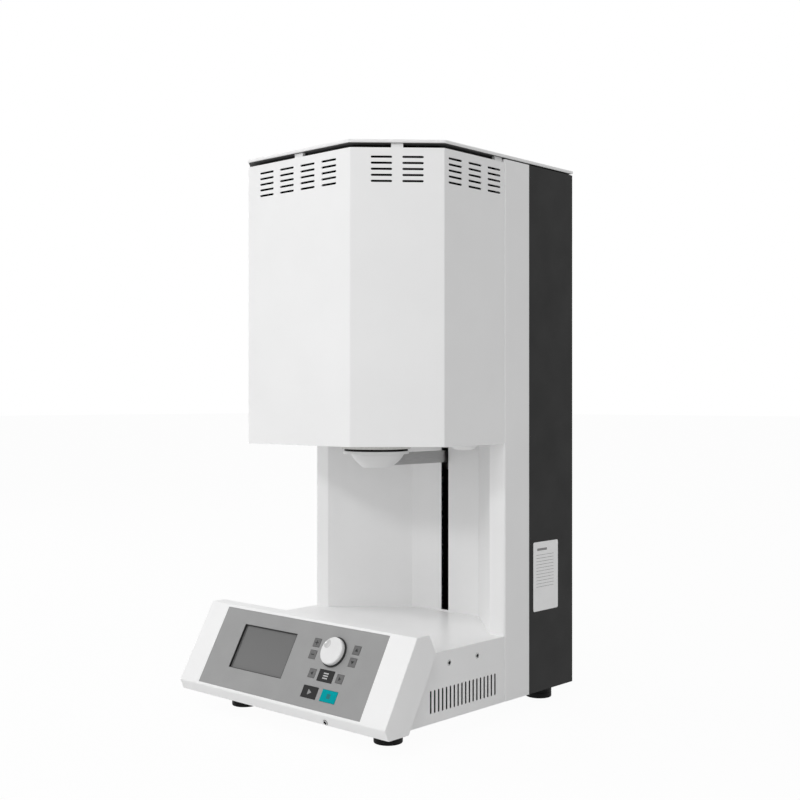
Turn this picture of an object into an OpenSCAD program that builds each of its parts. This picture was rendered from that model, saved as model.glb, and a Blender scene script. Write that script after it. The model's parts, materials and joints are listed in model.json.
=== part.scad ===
// Bottom-loading dental furnace. An octagonal heating head hangs on a column with an
// eight-sided alcove. A motor and screw in the column lift the firing plug into the head.
// The origin is the middle of the footprint, on the table. The front faces -Y.

/* [Overall] */
// Height of the top plate above the table
overall_h = 789; // [780:1:810]
// Depth from the console lip to the rear edge of the housing
overall_d = 425; // [420:1:450]
// Width of the head, the base and the column
body_w = 380; // [374:1:386]
// Clear height under the housing, which the feet fill
ground_gap = 25.5; // [20:0.5:32]
// Thickness of the folded steel sheet
sheet = 1.5; // [1:0.1:2]
// Outside radius of the sheet's bends
bend_r = 3; // [2.2:0.1:5]
// Gap between a piece and the cut-out or pocket that it sits in
fit_gap = 0.25; // [0.15:0.05:0.4]
// Radial clearance of shafts, rods and pins in their bores
run_gap = 0.05; // [0.02:0.01:0.1]

/* [Head] */
// Distance from the console lip to the front of the head
head_setback = 42.5; // [36:0.5:50]
// Depth of the head in front of the column, as a share of the overall depth
head_share = 0.5106; // [0.5:0.001:0.52]
// Width of the head's front facet
head_front_w = 204; // [190:1:220]
// Height of the head shell
head_h = 393.5; // [385:0.5:400]
// Width of the folded rims at the top and bottom of the shell
rim_w = 14; // [10:1:16]
// Air gap between the head shell and the top plate
plate_gap = 6.3; // [4:0.1:9]
// Height of the top plate's folded edge
plate_edge = 4.4; // [3:0.1:8]
// How far the top plate stands out past the head
plate_overhang = 1.5; // [0.5:0.1:3]
// Air gap between the column and the top plate
column_gap = 1.8; // [1:0.1:3]

/* [Head vents] */
// Length of a vent slot
vent_len = 28; // [20:1:31]
// Width of a vent slot, also on the base
vent_w = 3; // [2:0.1:4]
// Distance between two rows of slots
vent_pitch = 7.95; // [6:0.05:9]
// Rows of slots
vent_rows = 5; // [3:1:5]
// Distance between two slots of a row
vent_step = 41.5; // [38:0.1:43]
// Height of the top row's middle below the shell's top
vent_drop = 12.2; // [10:0.1:20]
// Distance from the column to the middle of the side slots
vent_side_setback = 65; // [60:0.5:68]

/* [Column] */
// Depth of the pale strip on the column's sides
strip_d = 57; // [50:1:65]
// How far the column stands out past the base on each side
strip_proud = 0.5; // [0:0.1:1]
// Width of the flat front edge beside the alcove
alcove_edge_w = 26.7; // [22:0.1:32]
// Depth of the alcove behind that edge, as a share of the overall depth
alcove_share = 0.2235; // [0.215:0.001:0.23]
// Width of the slot that the lift arm passes through
slot_w = 15; // [12:0.1:17]
// Distance that the slot ends above the base's top
slot_foot = 2.5; // [1:0.1:5]
// Clear height of the slot over the raised arm
slot_head = 4.5; // [2:0.1:6]
// Depth that the rear panel is set in from the housing's rear edge
panel_inset = 3; // [3:0.1:5]

/* [Base] */
// Height of the base
base_h = 91.3; // [86:0.1:96]
// Number of vent slots on each side of the base
base_vents = 18; // [12:1:18]
// Length of those slots
base_vent_len = 30; // [24:1:36]
// Height of their middle above the base's underside
base_vent_rise = 28.2; // [26:0.1:34]
// Distance from the column to the nearest slot
base_vent_setback = 21.5; // [16:0.5:26]
// Thickness of the base plate
base_plate_t = 2; // [1.5:0.1:3]
// Height of its folded side edges
base_plate_edge = 9; // [6:0.5:11]

/* [Feet] */
// Radius of a rubber foot
foot_r = 19.3; // [15:0.1:22]
// Distance of the feet from the middle plane
foot_x = 143.5; // [120:0.5:155]
// Distance of the front feet behind the console lip
foot_front = 71.7; // [68:0.1:85]
// Distance of the rear feet from the rear edge
foot_rear = 21; // [20.5:0.5:45]

/* [Console] */
// Width of the console
console_w = 410; // [402:1:424]
// Thickness of the console's walls, its panel and the panel's carrier
console_wall = 2; // [1.6:0.1:2.6]
// Height of the lip below the sloping face
lip_h = 14.4; // [10:0.1:18]
// How far the lip slopes back
lip_back = 6.1; // [3:0.1:9]
// Length of the sloping face
face_len = 121.8; // [120:0.1:130]
// Angle of the sloping face from level
face_angle = 60.5; // [58:0.1:63]
// Depth of the level ledge on top
ledge_d = 23.5; // [18:0.1:28]
// Thickness of the console, square to its face
console_t = 45.5; // [42:0.1:50]
// Height of the console's rear edge above the base's top
rear_lip = 2.5; // [1:0.1:5]

/* [Control panel] */
// Width of the panel
panel_w = 323; // [315:1:335]
// Height of the panel, along the slope
panel_h = 114; // [108:0.5:115]
// Offset of the panel from the middle plane
panel_x = -2; // [-5:0.5:5]
// Width of the display window
window_w = 110; // [95:1:115]
// Height of the display window
window_h = 64.5; // [50:0.5:70]
// Middle of the window, across
window_x = -59.5; // [-65:0.5:-55]
// Middle of the window, up the slope
window_s = 65.5; // [60:0.5:70]
// Distance that the display's glass lies behind the panel
glass_sink = 1; // [0.6:0.1:1.3]

/* [Keys and knob] */
// Middle of the keypad, across
pad_x = 75; // [72:0.5:78]
// Width of a small key
key_w = 12.7; // [10:0.1:14]
// Height of a small key
key_h = 11.8; // [9:0.1:13]
// Width of a large key
big_key_w = 28; // [22:0.1:30]
// Height of a large key
big_key_h = 16; // [12:0.1:18]
// How far the keys stand out of the panel
key_proud = 0.4; // [0.2:0.1:1]
// How far a key travels
key_travel = 0.8; // [0.5:0.1:0.9]
// Distance of the outer small keys from the keypad's middle
key_far = 37.5; // [36:0.1:40]
// Distance of the small keys beside the program key
key_near = 26; // [24:0.1:28]
// Distance of the start and stop keys from the keypad's middle
key_pair = 18; // [17:0.1:20]
// Height of the top row of small keys up the slope
row_top = 91.2; // [90:0.1:95]
// Height of the second row of small keys
row_second = 74.5; // [72:0.1:76]
// Height of the program key's row
row_program = 50; // [48:0.1:52]
// Height of the start and stop keys' row
row_start = 25; // [20:0.1:27]
// Radius of the knob
knob_r = 19; // [16:0.1:21]
// Height of the knob above the panel
knob_h = 8; // [6:0.1:14]
// How far the knob's dark skirt stands out past the knob
skirt_w = 1.8; // [1:0.1:2.5]
// Thickness of that skirt
skirt_t = 1.7; // [1:0.1:2.5]
// Radius of the encoder's shaft
encoder_r = 3; // [2.5:0.1:4]

/* [Chamber] */
// Distance from the head's front to the chamber's axis, as a share of the overall depth
chamber_share = 0.3694; // [0.362:0.001:0.374]
// Radius of the chamber's steel casing
casing_r = 136.5; // [125:0.5:142]
// Radius of the heating space
chamber_r = 62; // [60:0.5:75]
// Height of the heating space
chamber_h = 150; // [145:1:160]
// Thickness of the insulation under the heating space
floor_ins = 60; // [50:1:65]
// Thickness of the insulation over the heating space
roof_ins = 80; // [60:1:90]
// Thickness of the head's floor plate
head_floor_t = 3; // [2:0.1:4]
// Wall of the insulating ring round the mouth
mouth_wall = 5; // [4:0.1:8]
// Depth that the mouth ring hangs below the head's rim
mouth_drop = 9.1; // [6:0.1:12]

/* [Heating] */
// Radius of an element's hot wire
hot_r = 3; // [2:0.1:4]
// Radius of an element's cold end
cold_r = 6; // [4.5:0.1:7]
// Distance between an element's two legs
leg_gap = 30; // [24:0.5:34]
// Radius of the circle that the elements stand on
element_ring = 50; // [48.5:0.1:52]
// Number of elements
elements = 4; // [3:1:4]
// Height of the cold ends above the insulation
cold_rise = 34; // [24:1:40]

/* [Lift] */
// Clear height between the lowered pan and the base
low_gap = 6.3; // [4:0.1:30]
// Radius of the firing plug
plug_r = 44; // [40:0.5:44]
// Height of the firing plug
plug_h = 84; // [70:1:88]
// Gap round the plug in the mouth
mouth_gap = 2; // [1:0.1:3]
// Radius of the plug's dark carrier plate
seat_r = 42; // [36:0.5:44]
// Radius of that plate's foot flange
seat_flange_r = 46.5; // [45:0.1:49]
// Thickness of the foot flange
seat_flange_t = 3; // [1.5:0.1:3.5]
// Thickness of that plate
seat_t = 5.8; // [4:0.1:7]
// Radius of the tray's rim
rim_r = 48; // [46.5:0.1:52]
// Thickness of the tray's rim
tray_rim_t = 2.7; // [2:0.1:4]
// Height of the rim's turned-down lip
tray_lip_h = 5; // [4.5:0.1:7]
// Clearance between the foot flange and the mouth ring
seal_gap = 0.4; // [0.3:0.1:2]
// Upper radius of the conical pan
pan_top_r = 37.5; // [34:0.5:42]
// Lower radius of the conical pan
pan_low_r = 18.5; // [15:0.5:22]
// Height of the conical pan
pan_h = 21.5; // [19:0.1:24]
// Swell of the pan's side past a straight cone
pan_swell = 2.3; // [1:0.1:3]
// Wall of the pan
pan_wall = 2.5; // [2:0.1:3]
// Thickness of the lift arm
arm_t = 5; // [4:0.1:6]
// Height of the lift arm
arm_h = 18.4; // [15:0.1:20]
// Radius of the firing tray
dish_r = 35; // [30:0.5:38]
// Height of the firing tray
dish_h = 22; // [14:0.5:28]

/* [Lift drive] */
// Distance of the lead screw behind the alcove, as a share of the overall depth
screw_share = 0.0894; // [0.085:0.001:0.093]
// Radius of the lead screw
screw_r = 7; // [5:0.5:8]
// Radius of the guide rods
rod_r = 6; // [5:0.5:7]
// Distance of the guide rods from the lead screw
rod_x = 42; // [36:0.5:46]
// Height of the carriage
carriage_h = 44; // [36:1:48]
// Depth of the carriage
carriage_d = 32; // [28:1:36]
// Width of the lift motor
motor_w = 42; // [35:1:50]
// Height of the lift motor
motor_h = 44; // [38:1:46]

/* [Rear panel] */
// Distance of the fan from the middle plane, as a share of the body's width
fan_share = 0.266; // [0.266:0.001:0.3]
// Width of the fan's frame
fan_w = 80; // [70:1:90]
// Distance of the power inlet from the middle plane, as a share of the body's width
inlet_share = 0.25; // [0.23:0.001:0.3]
// Height of the fan and the inlet above the base's underside
rear_rise = 60; // [55:1:66]
// Width of the inlet's frame
inlet_w = 56; // [52:1:64]
// Height of the inlet's frame
inlet_h = 66; // [60:1:72]

/* [Hidden] */
$fn = 64;

white = "#E9E9E9";
dark = "#363636";
black = "#161616";
steel = "#B9BCBF";
fibre = "#F2EFE8";

// Places that the driving sizes give
bend_steps = 4;
cut = 1;
diag = sqrt(2) - 1;
lip_angle = atan2(-lip_h, lip_back);
nose_half = (face_angle - lip_angle) / 2;
nose_turn = (face_angle + lip_angle) / 2;
// Rounding takes this much off the lip's sharp edge
nose_loss = bend_r * (cos(nose_turn) / sin(nose_half) - 1);
lip_y = -overall_d / 2 - nose_loss;
rear_y = overall_d / 2;
underside = ground_gap;
base_top = underside + base_h;
head_y = lip_y + head_setback;
head_d = head_share * overall_d;
alcove_d = alcove_share * overall_d;
column_y = head_y + head_d;
alcove_y = column_y + alcove_d;
strip_y = column_y + strip_d;
plate_z = overall_h - plate_edge;
head_top = plate_z - plate_gap;
head_z = head_top - head_h;
column_top = plate_z - column_gap;
column_half = body_w / 2 + strip_proud;
alcove_edge_x = body_w / 2 - alcove_edge_w;
alcove_back_x = alcove_edge_x - alcove_d;
head_chamfer = (body_w - head_front_w) / 2;
panel_out_y = rear_y - panel_inset;
panel_in_y = panel_out_y - sheet;

// Console places, in the side view
lip_z = underside + lip_h;
function back_y(z) = lip_y + console_t / sin(face_angle) + (z - lip_z) / tan(face_angle);
face_top = [lip_y + face_len * cos(face_angle), lip_z + face_len * sin(face_angle)];
console_rear_z = base_top + rear_lip;
console_side = [
  [lip_y + lip_back, underside],
  [back_y(underside), underside],
  [back_y(console_rear_z), console_rear_z],
  [face_top.x + ledge_d, face_top.y],
  face_top,
  [lip_y, lip_z]
];
panel_s = (face_len - panel_h) / 2 + panel_h / 2;
carrier_grow = [6, 1.2];
carrier_w = 2 * console_wall;
window_depth = console_wall + glass_sink;
stem_w = 8;
board_w = 118;
board_h = 104;
board_t = 1.6;
board_gap = 4.4;
board_s = 57;
glass_rim = 1.2;
bezel_t = 0.9;

// Chamber and lift places
chamber_y = head_y + chamber_share * overall_d;
floor_z = head_z + sheet;
floor_top = floor_z + head_floor_t;
hot_z = floor_top + floor_ins;
roof_z = hot_z + chamber_h;
roof_top = roof_z + roof_ins;
mouth_r = plug_r + mouth_gap;
mouth_z = head_z - mouth_drop;
ins_r = casing_r - sheet - fit_gap;
rim_z = mouth_z - seal_gap - seat_flange_t;
pan_z = rim_z - tray_rim_t;
pan_low_z = pan_z - pan_h;
travel = pan_low_z - base_top - low_gap;
plug_z = rim_z + seat_t;
plug_top = plug_z + plug_h;
arm_top = pan_z - 1.5;
arm_z = arm_top - arm_h;
hub_r = 12;
screw_y = alcove_y + screw_share * overall_d;
carriage_z = arm_z + arm_h / 2 - carriage_h / 2;
rod_margin = 8;
block_margin = 10;
carriage_w = 2 * (rod_x + rod_r + rod_margin);
arm_foot_t = 5;
arm_foot_w = 40;
bush_wall = 3;
nut_r = screw_r + 5;
nut_flange_w = 4;
nut_flange_t = 3;
stop_gap = 2;
block_t = 12;
low_block_top = carriage_z - travel - stop_gap;
high_block_z = carriage_z + carriage_h + nut_flange_t + 2 * stop_gap;
block_w = 2 * (rod_x + rod_r + block_margin);
block_rear_y = screw_y + carriage_d / 2;
block_front_y = alcove_y + sheet;
plate_top = underside + base_plate_t;
coupling_r = 10;
shaft_r = 2.5;
shaft_deep = 12;
socket_deep = 10;
motor_top = plate_top + motor_h;
coupling_gap = 2;
coupling_top = low_block_top - block_t - coupling_gap;
screw_z = coupling_top - socket_deep;
screw_top = high_block_z + block_t;

// Fasteners
screw_head_r = 3.5;
screw_head_h = 2.1;
screw_hole_r = 1.9;
screw_len = 8;
screw_clear = 0.15;
side_screw_drop = 17.3;
side_screw_steps = [60.5, 119.4];
lip_screw_x = 96;
lip_screw_up = 0.37;
floor_screw_ring = 75;
floor_cap_x = 135;
floor_cap_back = 22;

// Vectors and outlines in the plane
function unit(v) = v / norm(v);
function left_of(v) = [-v.y, v.x];
function at(list, i) = list[(i + len(list)) % len(list)];

// Moves every edge of an anticlockwise outline inwards by d
function inset(pts, d) = [
  for (i = [0:len(pts) - 1])
    let (n1 = left_of(unit(pts[i] - at(pts, i - 1))), n2 = left_of(unit(at(pts, i + 1) - pts[i])))
      pts[i] + d * (n1 + n2) / (1 + n1 * n2)
];

// The points of one rounded corner
function corner(p0, p1, p2, r) = r <= 0 ? [p1] :
  let (
    u = unit(p0 - p1),
    v = unit(p2 - p1),
    half = acos(u * v) / 2,
    mid = p1 + unit(u + v) * r / sin(half),
    a = p1 + u * r / tan(half) - mid,
    b = p1 + v * r / tan(half) - mid
  )
  [for (k = [0:bend_steps]) mid + r * unit(a * (1 - k / bend_steps) + b * k / bend_steps)];

// Rounds the corners of an outline, each by its own radius
function rounded(pts, radii) = [
  for (i = [0:len(pts) - 1]) each corner(at(pts, i - 1), pts[i], at(pts, i + 1), radii[i])
];

// The head's five facets, closed by a straight edge at rear
function head_outline(rear) = [
  [-head_front_w / 2, head_y],
  [head_front_w / 2, head_y],
  [body_w / 2, head_y + head_chamfer],
  [body_w / 2, rear],
  [-body_w / 2, rear],
  [-body_w / 2, head_y + head_chamfer]
];
function head_radii(r) = [r, r, r, 0, 0, r];

// The column's bent sheet, from one rear edge round the alcove to the other
column_points = [
  [-column_half, column_y],
  [-alcove_edge_x, column_y],
  [-alcove_back_x, alcove_y],
  [alcove_back_x, alcove_y],
  [alcove_edge_x, column_y],
  [column_half, column_y],
  [column_half, rear_y],
  [-column_half, rear_y]
];
function column_path(d, outer, inner) =
  let (pts = inset(column_points, d), radii = [outer, outer, inner, inner, outer, outer])
  concat(
    [[-column_half + d, strip_y]],
    [for (i = [0:5]) each corner(at(pts, i - 1), pts[i], pts[i + 1], radii[i])],
    [[column_half - d, strip_y]]
  );
function reversed(list) = [for (i = [len(list) - 1:-1:0]) list[i]];

// Solids from outlines
module prism(pts, z0, z1) {
  translate([0, 0, z0])
    linear_extrude(z1 - z0)
      polygon(pts);
}

module side_prism(pts, width) {
  rotate([90, 0, 90])
    translate([0, 0, -width / 2])
      linear_extrude(width)
        polygon(pts);
}

module block(x0, x1, y0, y1, z0, z1) {
  translate([x0, y0, z0])
    cube([x1 - x0, y1 - y0, z1 - z0]);
}

module tube(r_out, r_in, z0, z1) {
  translate([0, 0, z0])
    difference() {
      cylinder(r = r_out, h = z1 - z0);
      translate([0, 0, -cut])
        cylinder(r = r_in, h = z1 - z0 + 2 * cut);
    }
}

// A round-ended slot along X that cuts along Z
module slot_cut(length, width, depth) {
  linear_extrude(depth, center = true) {
    square([length - width, width], center = true);
    for (side = [-1, 1])
      translate([side * (length - width) / 2, 0])
        circle(d = width, $fn = 20);
  }
}

// Places a child on the console's face: x across, s up the slope, w out of it
module on_panel(x, s, w) {
  translate([0, lip_y, lip_z])
    rotate([face_angle, 0, 0])
      translate([x, s, w])
        children();
}

// Places a child on a rear plane, with its Z pointing backwards and its Y up
module on_rear(x, y, z) {
  translate([x, y, z])
    rotate([90, 0, 180])
      children();
}

module at_chamber() {
  translate([0, chamber_y, 0])
    children();
}

// Rows of slots in one facet, whose middle is at the origin and whose normal is -Y
module vent_rows(count) {
  for (i = [0:count - 1], row = [0:vent_rows - 1])
    translate([(i - (count - 1) / 2) * vent_step, 0, -row * vent_pitch])
      rotate([90, 0, 0])
        slot_cut(vent_len, vent_w, 4 * sheet);
}

module head_vents() {
  z = head_top - vent_drop;
  translate([0, head_y, z])
    vent_rows(4);
  for (side = [-1, 1]) {
    translate([side * (body_w / 2 - head_chamfer / 2), head_y + head_chamfer / 2, z])
      rotate([0, 0, side * 45])
        vent_rows(2);
    translate([side * body_w / 2, column_y - vent_side_setback, z])
      rotate([0, 0, side * 90])
        vent_rows(3);
  }
}

module head_shell() {
  color(white)
    difference() {
      prism(rounded(head_outline(column_y), head_radii(bend_r)), head_z, head_top);
      prism(rounded(inset(head_outline(column_y + 10), sheet), head_radii(bend_r - sheet)),
            head_z + sheet, head_top - sheet);
      prism(inset(head_outline(column_y + 2 * rim_w), rim_w), head_z - cut, head_top + cut);
      head_vents();
    }
}

// The head's floor fills the octagon and reaches back into the alcove
floor_outline = [
  [-head_front_w / 2, head_y],
  [head_front_w / 2, head_y],
  [body_w / 2, head_y + head_chamfer],
  [body_w / 2, column_y],
  [alcove_edge_x, column_y],
  [alcove_back_x, alcove_y],
  [-alcove_back_x, alcove_y],
  [-alcove_edge_x, column_y],
  [-body_w / 2, column_y],
  [-body_w / 2, head_y + head_chamfer]
];

module floor_screw_places() {
  for (k = [0:5])
    at_chamber()
      rotate([0, 0, 10 + 60 * k])
        translate([floor_screw_ring, 0, floor_z])
          children();
}

module head_floor() {
  color(white)
    difference() {
      prism(inset(floor_outline, sheet + fit_gap), floor_z, floor_top);
      at_chamber()
        translate([0, 0, floor_z - cut])
          cylinder(r = mouth_r + mouth_wall + fit_gap, h = head_floor_t + 2 * cut);
      floor_screw_places()
        cylinder(r = screw_hole_r + screw_clear, h = 2 * head_floor_t, center = true, $fn = 24);
    }
}

// Two shallow domed caps under the head's rear corners
module floor_caps() {
  r = 18;
  h = 10;
  color(white)
    for (side = [-1, 1])
      translate([side * floor_cap_x, column_y - floor_cap_back, floor_z - h])
        rotate_extrude()
          polygon([[0, 0], [r * 0.6, 0], [r * 0.85, h * 0.18], [r, h * 0.5], [r, h], [0, h]]);
}

module mouth_ring() {
  color(fibre)
    at_chamber()
      tube(mouth_r + mouth_wall, mouth_r, mouth_z, floor_top);
}

module chamber_floor() {
  color(fibre)
    difference() {
      at_chamber()
        tube(ins_r, mouth_r + 1, floor_top, hot_z);
      floor_screw_places()
        cylinder(r = screw_hole_r + screw_clear, h = 2 * screw_len, center = true, $fn = 24);
    }
}

module chamber_wall() {
  color(fibre)
    at_chamber()
      tube(ins_r, chamber_r, hot_z, roof_z);
}

// Places a child on each leg of each heating element
module element_places() {
  for (k = [0:elements - 1])
    at_chamber()
      rotate([0, 0, 45 + 360 * k / elements])
        translate([element_ring, 0, 0])
          children();
}

module leg_places() {
  element_places()
    for (side = [-1, 1])
      translate([0, side * leg_gap / 2, 0])
        children();
}

module chamber_roof() {
  color(fibre)
    difference() {
      at_chamber()
        translate([0, 0, roof_z])
          cylinder(r = ins_r, h = roof_ins);
      leg_places()
        translate([0, 0, roof_z - cut])
          cylinder(r = cold_r + fit_gap, h = roof_ins + 2 * cut, $fn = 32);
      at_chamber()
        translate([0, 0, roof_z - cut])
          cylinder(r = sheath_r + fit_gap, h = roof_ins + 2 * cut, $fn = 32);
    }
}

module chamber_casing() {
  color(steel)
    at_chamber() {
      tube(casing_r, casing_r - sheet, floor_top, roof_top + sheet);
      tube(casing_r, casing_r - 12, roof_top, roof_top + sheet);
    }
}

// U-shaped elements hang from the roof, with thick cold ends through the insulation
element_drop = chamber_h - 20;

module heating_elements() {
  bend = leg_gap / 2;
  low = roof_z - element_drop;
  color("#7A7470")
    element_places() {
      translate([0, 0, low + bend])
        rotate([90, 0, 90])
          rotate([0, 0, 180])
            rotate_extrude(angle = 180, $fn = 48)
              translate([bend, 0])
                circle(r = hot_r, $fn = 24);
      for (side = [-1, 1])
        translate([0, side * bend, 0]) {
          translate([0, 0, low + bend])
            cylinder(r = hot_r, h = roof_z - low - bend + cut, $fn = 24);
          translate([0, 0, roof_z])
            cylinder(r = cold_r, h = roof_ins + cold_rise, $fn = 32);
        }
    }
}

holder_edge = 5;
holder_h = 14;

module element_holders() {
  half = cold_r + holder_edge;
  color("#D8D2C4")
    element_places()
      difference() {
        block(-half, half, -leg_gap / 2 - half, leg_gap / 2 + half, roof_top, roof_top + holder_h);
        for (side = [-1, 1])
          translate([0, side * leg_gap / 2, roof_top - cut])
            cylinder(r = cold_r + run_gap, h = holder_h + 2 * cut, $fn = 32);
      }
}

sheath_r = 3.5;
sheath_reach = 15;
sensor_flange_r = 13;
sensor_flange_t = 3;
sensor_head_r = 10;
sensor_head_h = 20;

module thermocouple() {
  color("#E4DDCB")
    at_chamber() {
      translate([0, 0, roof_z - sheath_reach])
        cylinder(r = sheath_r, h = roof_ins + sheath_reach + cut, $fn = 32);
      translate([0, 0, roof_top])
        cylinder(r = sensor_flange_r, h = sensor_flange_t);
      translate([0, 0, roof_top + sensor_flange_t - cut])
        cylinder(r = sensor_head_r, h = sensor_head_h + cut);
    }
}

module top_plate() {
  outline = inset(head_outline(rear_y - plate_overhang), -plate_overhang);
  color(white)
    difference() {
      prism(rounded(outline, [1, 1, 1, 1, 1, 1] * bend_r), plate_z, overall_h);
      prism(rounded(inset(outline, sheet), [1, 1, 1, 1, 1, 1] * (bend_r - sheet)),
            plate_z - cut, overall_h - sheet);
    }
}

// Flat tabs carry the top plate on the rims of the head and the rear housing
tab_w = 16;
tab_t = 5;
tab_setback = 3;

module plate_tab(z) {
  block(-tab_w / 2, tab_w / 2, tab_setback, tab_setback + tab_t, z, overall_h - sheet);
}

module plate_standoffs() {
  color(white) {
    translate([0, head_y, 0])
      plate_tab(head_top);
    for (side = [-1, 1]) {
      translate([side * (body_w / 2 - head_chamfer / 2), head_y + head_chamfer / 2, 0])
        rotate([0, 0, side * 45])
          plate_tab(head_top);
      translate([side * body_w / 2, column_y - tab_w / 2 - 2, 0])
        rotate([0, 0, side * 90])
          plate_tab(head_top);
      translate([side * body_w / 3, rear_y - panel_inset - sheet, 0])
        rotate([0, 0, 180])
          plate_tab(column_top);
    }
  }
}

module column_liner() {
  outside = column_path(0, bend_r, bend_r - sheet);
  inside = column_path(sheet, bend_r - sheet, bend_r);
  color(white)
    difference() {
      prism(concat(outside, reversed(inside)), underside, column_top);
      block(-column_half + sheet, column_half - sheet, column_y - cut, rear_y, underside - cut,
            base_top);
      block(-slot_w / 2, slot_w / 2, alcove_y - cut, alcove_y + sheet + cut,
            base_top + slot_foot, arm_top + slot_head);
    }
}

module rear_housing() {
  half = column_half - sheet;
  color(dark)
    difference() {
      block(-column_half, column_half, strip_y, rear_y, underside, column_top);
      block(-half, half, strip_y - cut, panel_in_y - sheet, underside - cut, column_top - sheet);
      block(-half, half, panel_in_y, rear_y + cut, underside + sheet, column_top - sheet);
      block(-half + rim_w, half - rim_w, panel_in_y - 2 * sheet, rear_y + cut,
            underside + rim_w, column_top - rim_w);
      block(-half + rim_w, half - rim_w, strip_y - cut, panel_in_y - rim_w - sheet,
            column_top - 2 * sheet, column_top + cut);
      panel_screw_places()
        cylinder(r = screw_hole_r + screw_clear, h = 4 * screw_len, center = true, $fn = 24);
    }
}

module panel_screw_places() {
  x = column_half - sheet - rim_w / 2;
  z0 = underside + sheet + rim_w / 2;
  z1 = column_top - sheet - rim_w / 2;
  for (side = [-1, 1], k = [0:4])
    on_rear(side * x, panel_out_y, z0 + (z1 - z0) * k / 4)
      children();
}

fan_x = fan_share * body_w;
inlet_x = inlet_share * body_w;
fan_z = underside + rear_rise;
fan_wall = 2;
fan_bore = fan_w / 2 - fan_wall;
louvre_rows = 7;
louvre_pitch = 12;
louvre_len = 60;

module rear_panel() {
  half = column_half - sheet - fit_gap;
  color(dark)
    difference() {
      block(-half, half, panel_in_y, panel_out_y, underside + sheet + fit_gap,
            column_top - sheet - fit_gap);
      on_rear(-fan_x, panel_out_y, fan_z)
        cylinder(r = fan_bore, h = 4 * sheet, center = true);
      on_rear(inlet_x, panel_out_y, fan_z)
        cube([inlet_body_w + 2 * fit_gap, inlet_body_h + 2 * fit_gap, 4 * sheet], center = true);
      for (side = [-1, 1], row = [0:louvre_rows - 1])
        on_rear(side * louvre_len, panel_out_y, head_top - 24 - row * louvre_pitch)
          slot_cut(louvre_len, 2 * vent_w, 4 * sheet);
      panel_screw_places()
        cylinder(r = screw_hole_r + screw_clear, h = 4 * sheet, center = true, $fn = 24);
    }
}

// The base is a folded cover with a sloping front that the console lies on
base_front_gap = 0.2;

module base_shell() {
  front = [back_y(underside) + base_front_gap, back_y(base_top) + base_front_gap];
  side = [[front[0], underside], [column_y, underside], [column_y, base_top], [front[1], base_top]];
  open = [
    [back_y(underside - 30) + base_front_gap, underside - 30],
    [column_y + 30, underside - 30],
    [column_y + 30, base_top],
    [front[1], base_top]
  ];
  ledge = sheet * diag;
  color(white)
    difference() {
      union() {
        difference() {
          side_prism(side, body_w);
          side_prism(inset(open, sheet), body_w - 2 * sheet);
        }
        prism([
          [-alcove_edge_x - ledge, column_y - cut],
          [alcove_edge_x + ledge, column_y - cut],
          [alcove_edge_x + ledge, column_y + sheet],
          [alcove_back_x + ledge, alcove_y + sheet],
          [-alcove_back_x - ledge, alcove_y + sheet],
          [-alcove_edge_x - ledge, column_y + sheet]
        ], base_top - sheet, base_top);
      }
      for (side = [-1, 1], k = [0:base_vents - 1])
        translate([side * body_w / 2, column_y - base_vent_setback - k * vent_pitch,
                   underside + base_vent_rise])
          rotate([0, 90, 0])
            slot_cut(base_vent_len, vent_w, 4 * sheet);
      side_screw_places()
        flat_screw_cut();
    }
}

module base_plate() {
  half = body_w / 2 - sheet - fit_gap;
  front = back_y(plate_top) + base_front_gap + (sheet + fit_gap) / sin(face_angle);
  color(steel) {
    difference() {
      block(-half, half, front, panel_in_y - sheet - fit_gap, underside, underside + base_plate_edge);
      block(-half + base_plate_t, half - base_plate_t, front - cut, rear_y,
            plate_top, underside + base_plate_edge + cut);
      side_prism([
        [front - 2 * cut, plate_top],
        [front, plate_top],
        [front + base_plate_edge / tan(face_angle), plate_top + base_plate_edge],
        [front - 2 * cut, plate_top + base_plate_edge]
      ], body_w);
    }
  }
}

module feet() {
  edge = 1.5;
  color(black)
    for (side = [-1, 1], y = [lip_y + foot_front, rear_y - foot_rear])
      translate([side * foot_x, y, 0])
        rotate_extrude()
          polygon([
            [0, 0], [foot_r - edge, 0], [foot_r - edge * 0.3, edge * 0.3], [foot_r, edge],
            [foot_r, underside], [0, underside]
          ]);
}

// A pan-head screw whose head lies on the plane z = 0 and whose shank points down
module pan_screw() {
  rotate_extrude($fn = 32)
    polygon([
      [0, -screw_len], [screw_hole_r, -screw_len], [screw_hole_r, 0], [screw_head_r, 0],
      [screw_head_r, screw_head_h * 0.5], [screw_head_r * 0.7, screw_head_h], [0, screw_head_h]
    ]);
}

// A countersunk screw whose face lies on the plane z = 0
module flat_screw() {
  sink = screw_head_r - screw_hole_r;
  rotate_extrude($fn = 32)
    polygon([
      [0, -screw_len], [screw_hole_r, -screw_len], [screw_hole_r, -sink], [screw_head_r, 0], [0, 0]
    ]);
}

module flat_screw_cut() {
  r = screw_hole_r + screw_clear;
  rotate_extrude($fn = 32)
    polygon([
      [0, -2 * screw_len], [r, -2 * screw_len], [r, -screw_head_r + screw_hole_r],
      [screw_head_r + screw_clear, 0], [screw_head_r + screw_clear, cut], [0, cut]
    ]);
}

module side_screw_places() {
  for (side = [-1, 1], back = side_screw_steps)
    translate([side * body_w / 2, column_y - back, base_top - side_screw_drop])
      rotate([0, side * 90, 0])
        children();
}

module lip_screw_place() {
  translate([lip_screw_x, lip_y + lip_back * (1 - lip_screw_up), underside + lip_h * lip_screw_up])
    rotate([90 + atan(lip_back / lip_h), 0, 0])
      children();
}

module pan_screws() {
  color(steel) {
    floor_screw_places()
      rotate([180, 0, 0])
        pan_screw();
    panel_screw_places()
      pan_screw();
  }
}

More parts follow.
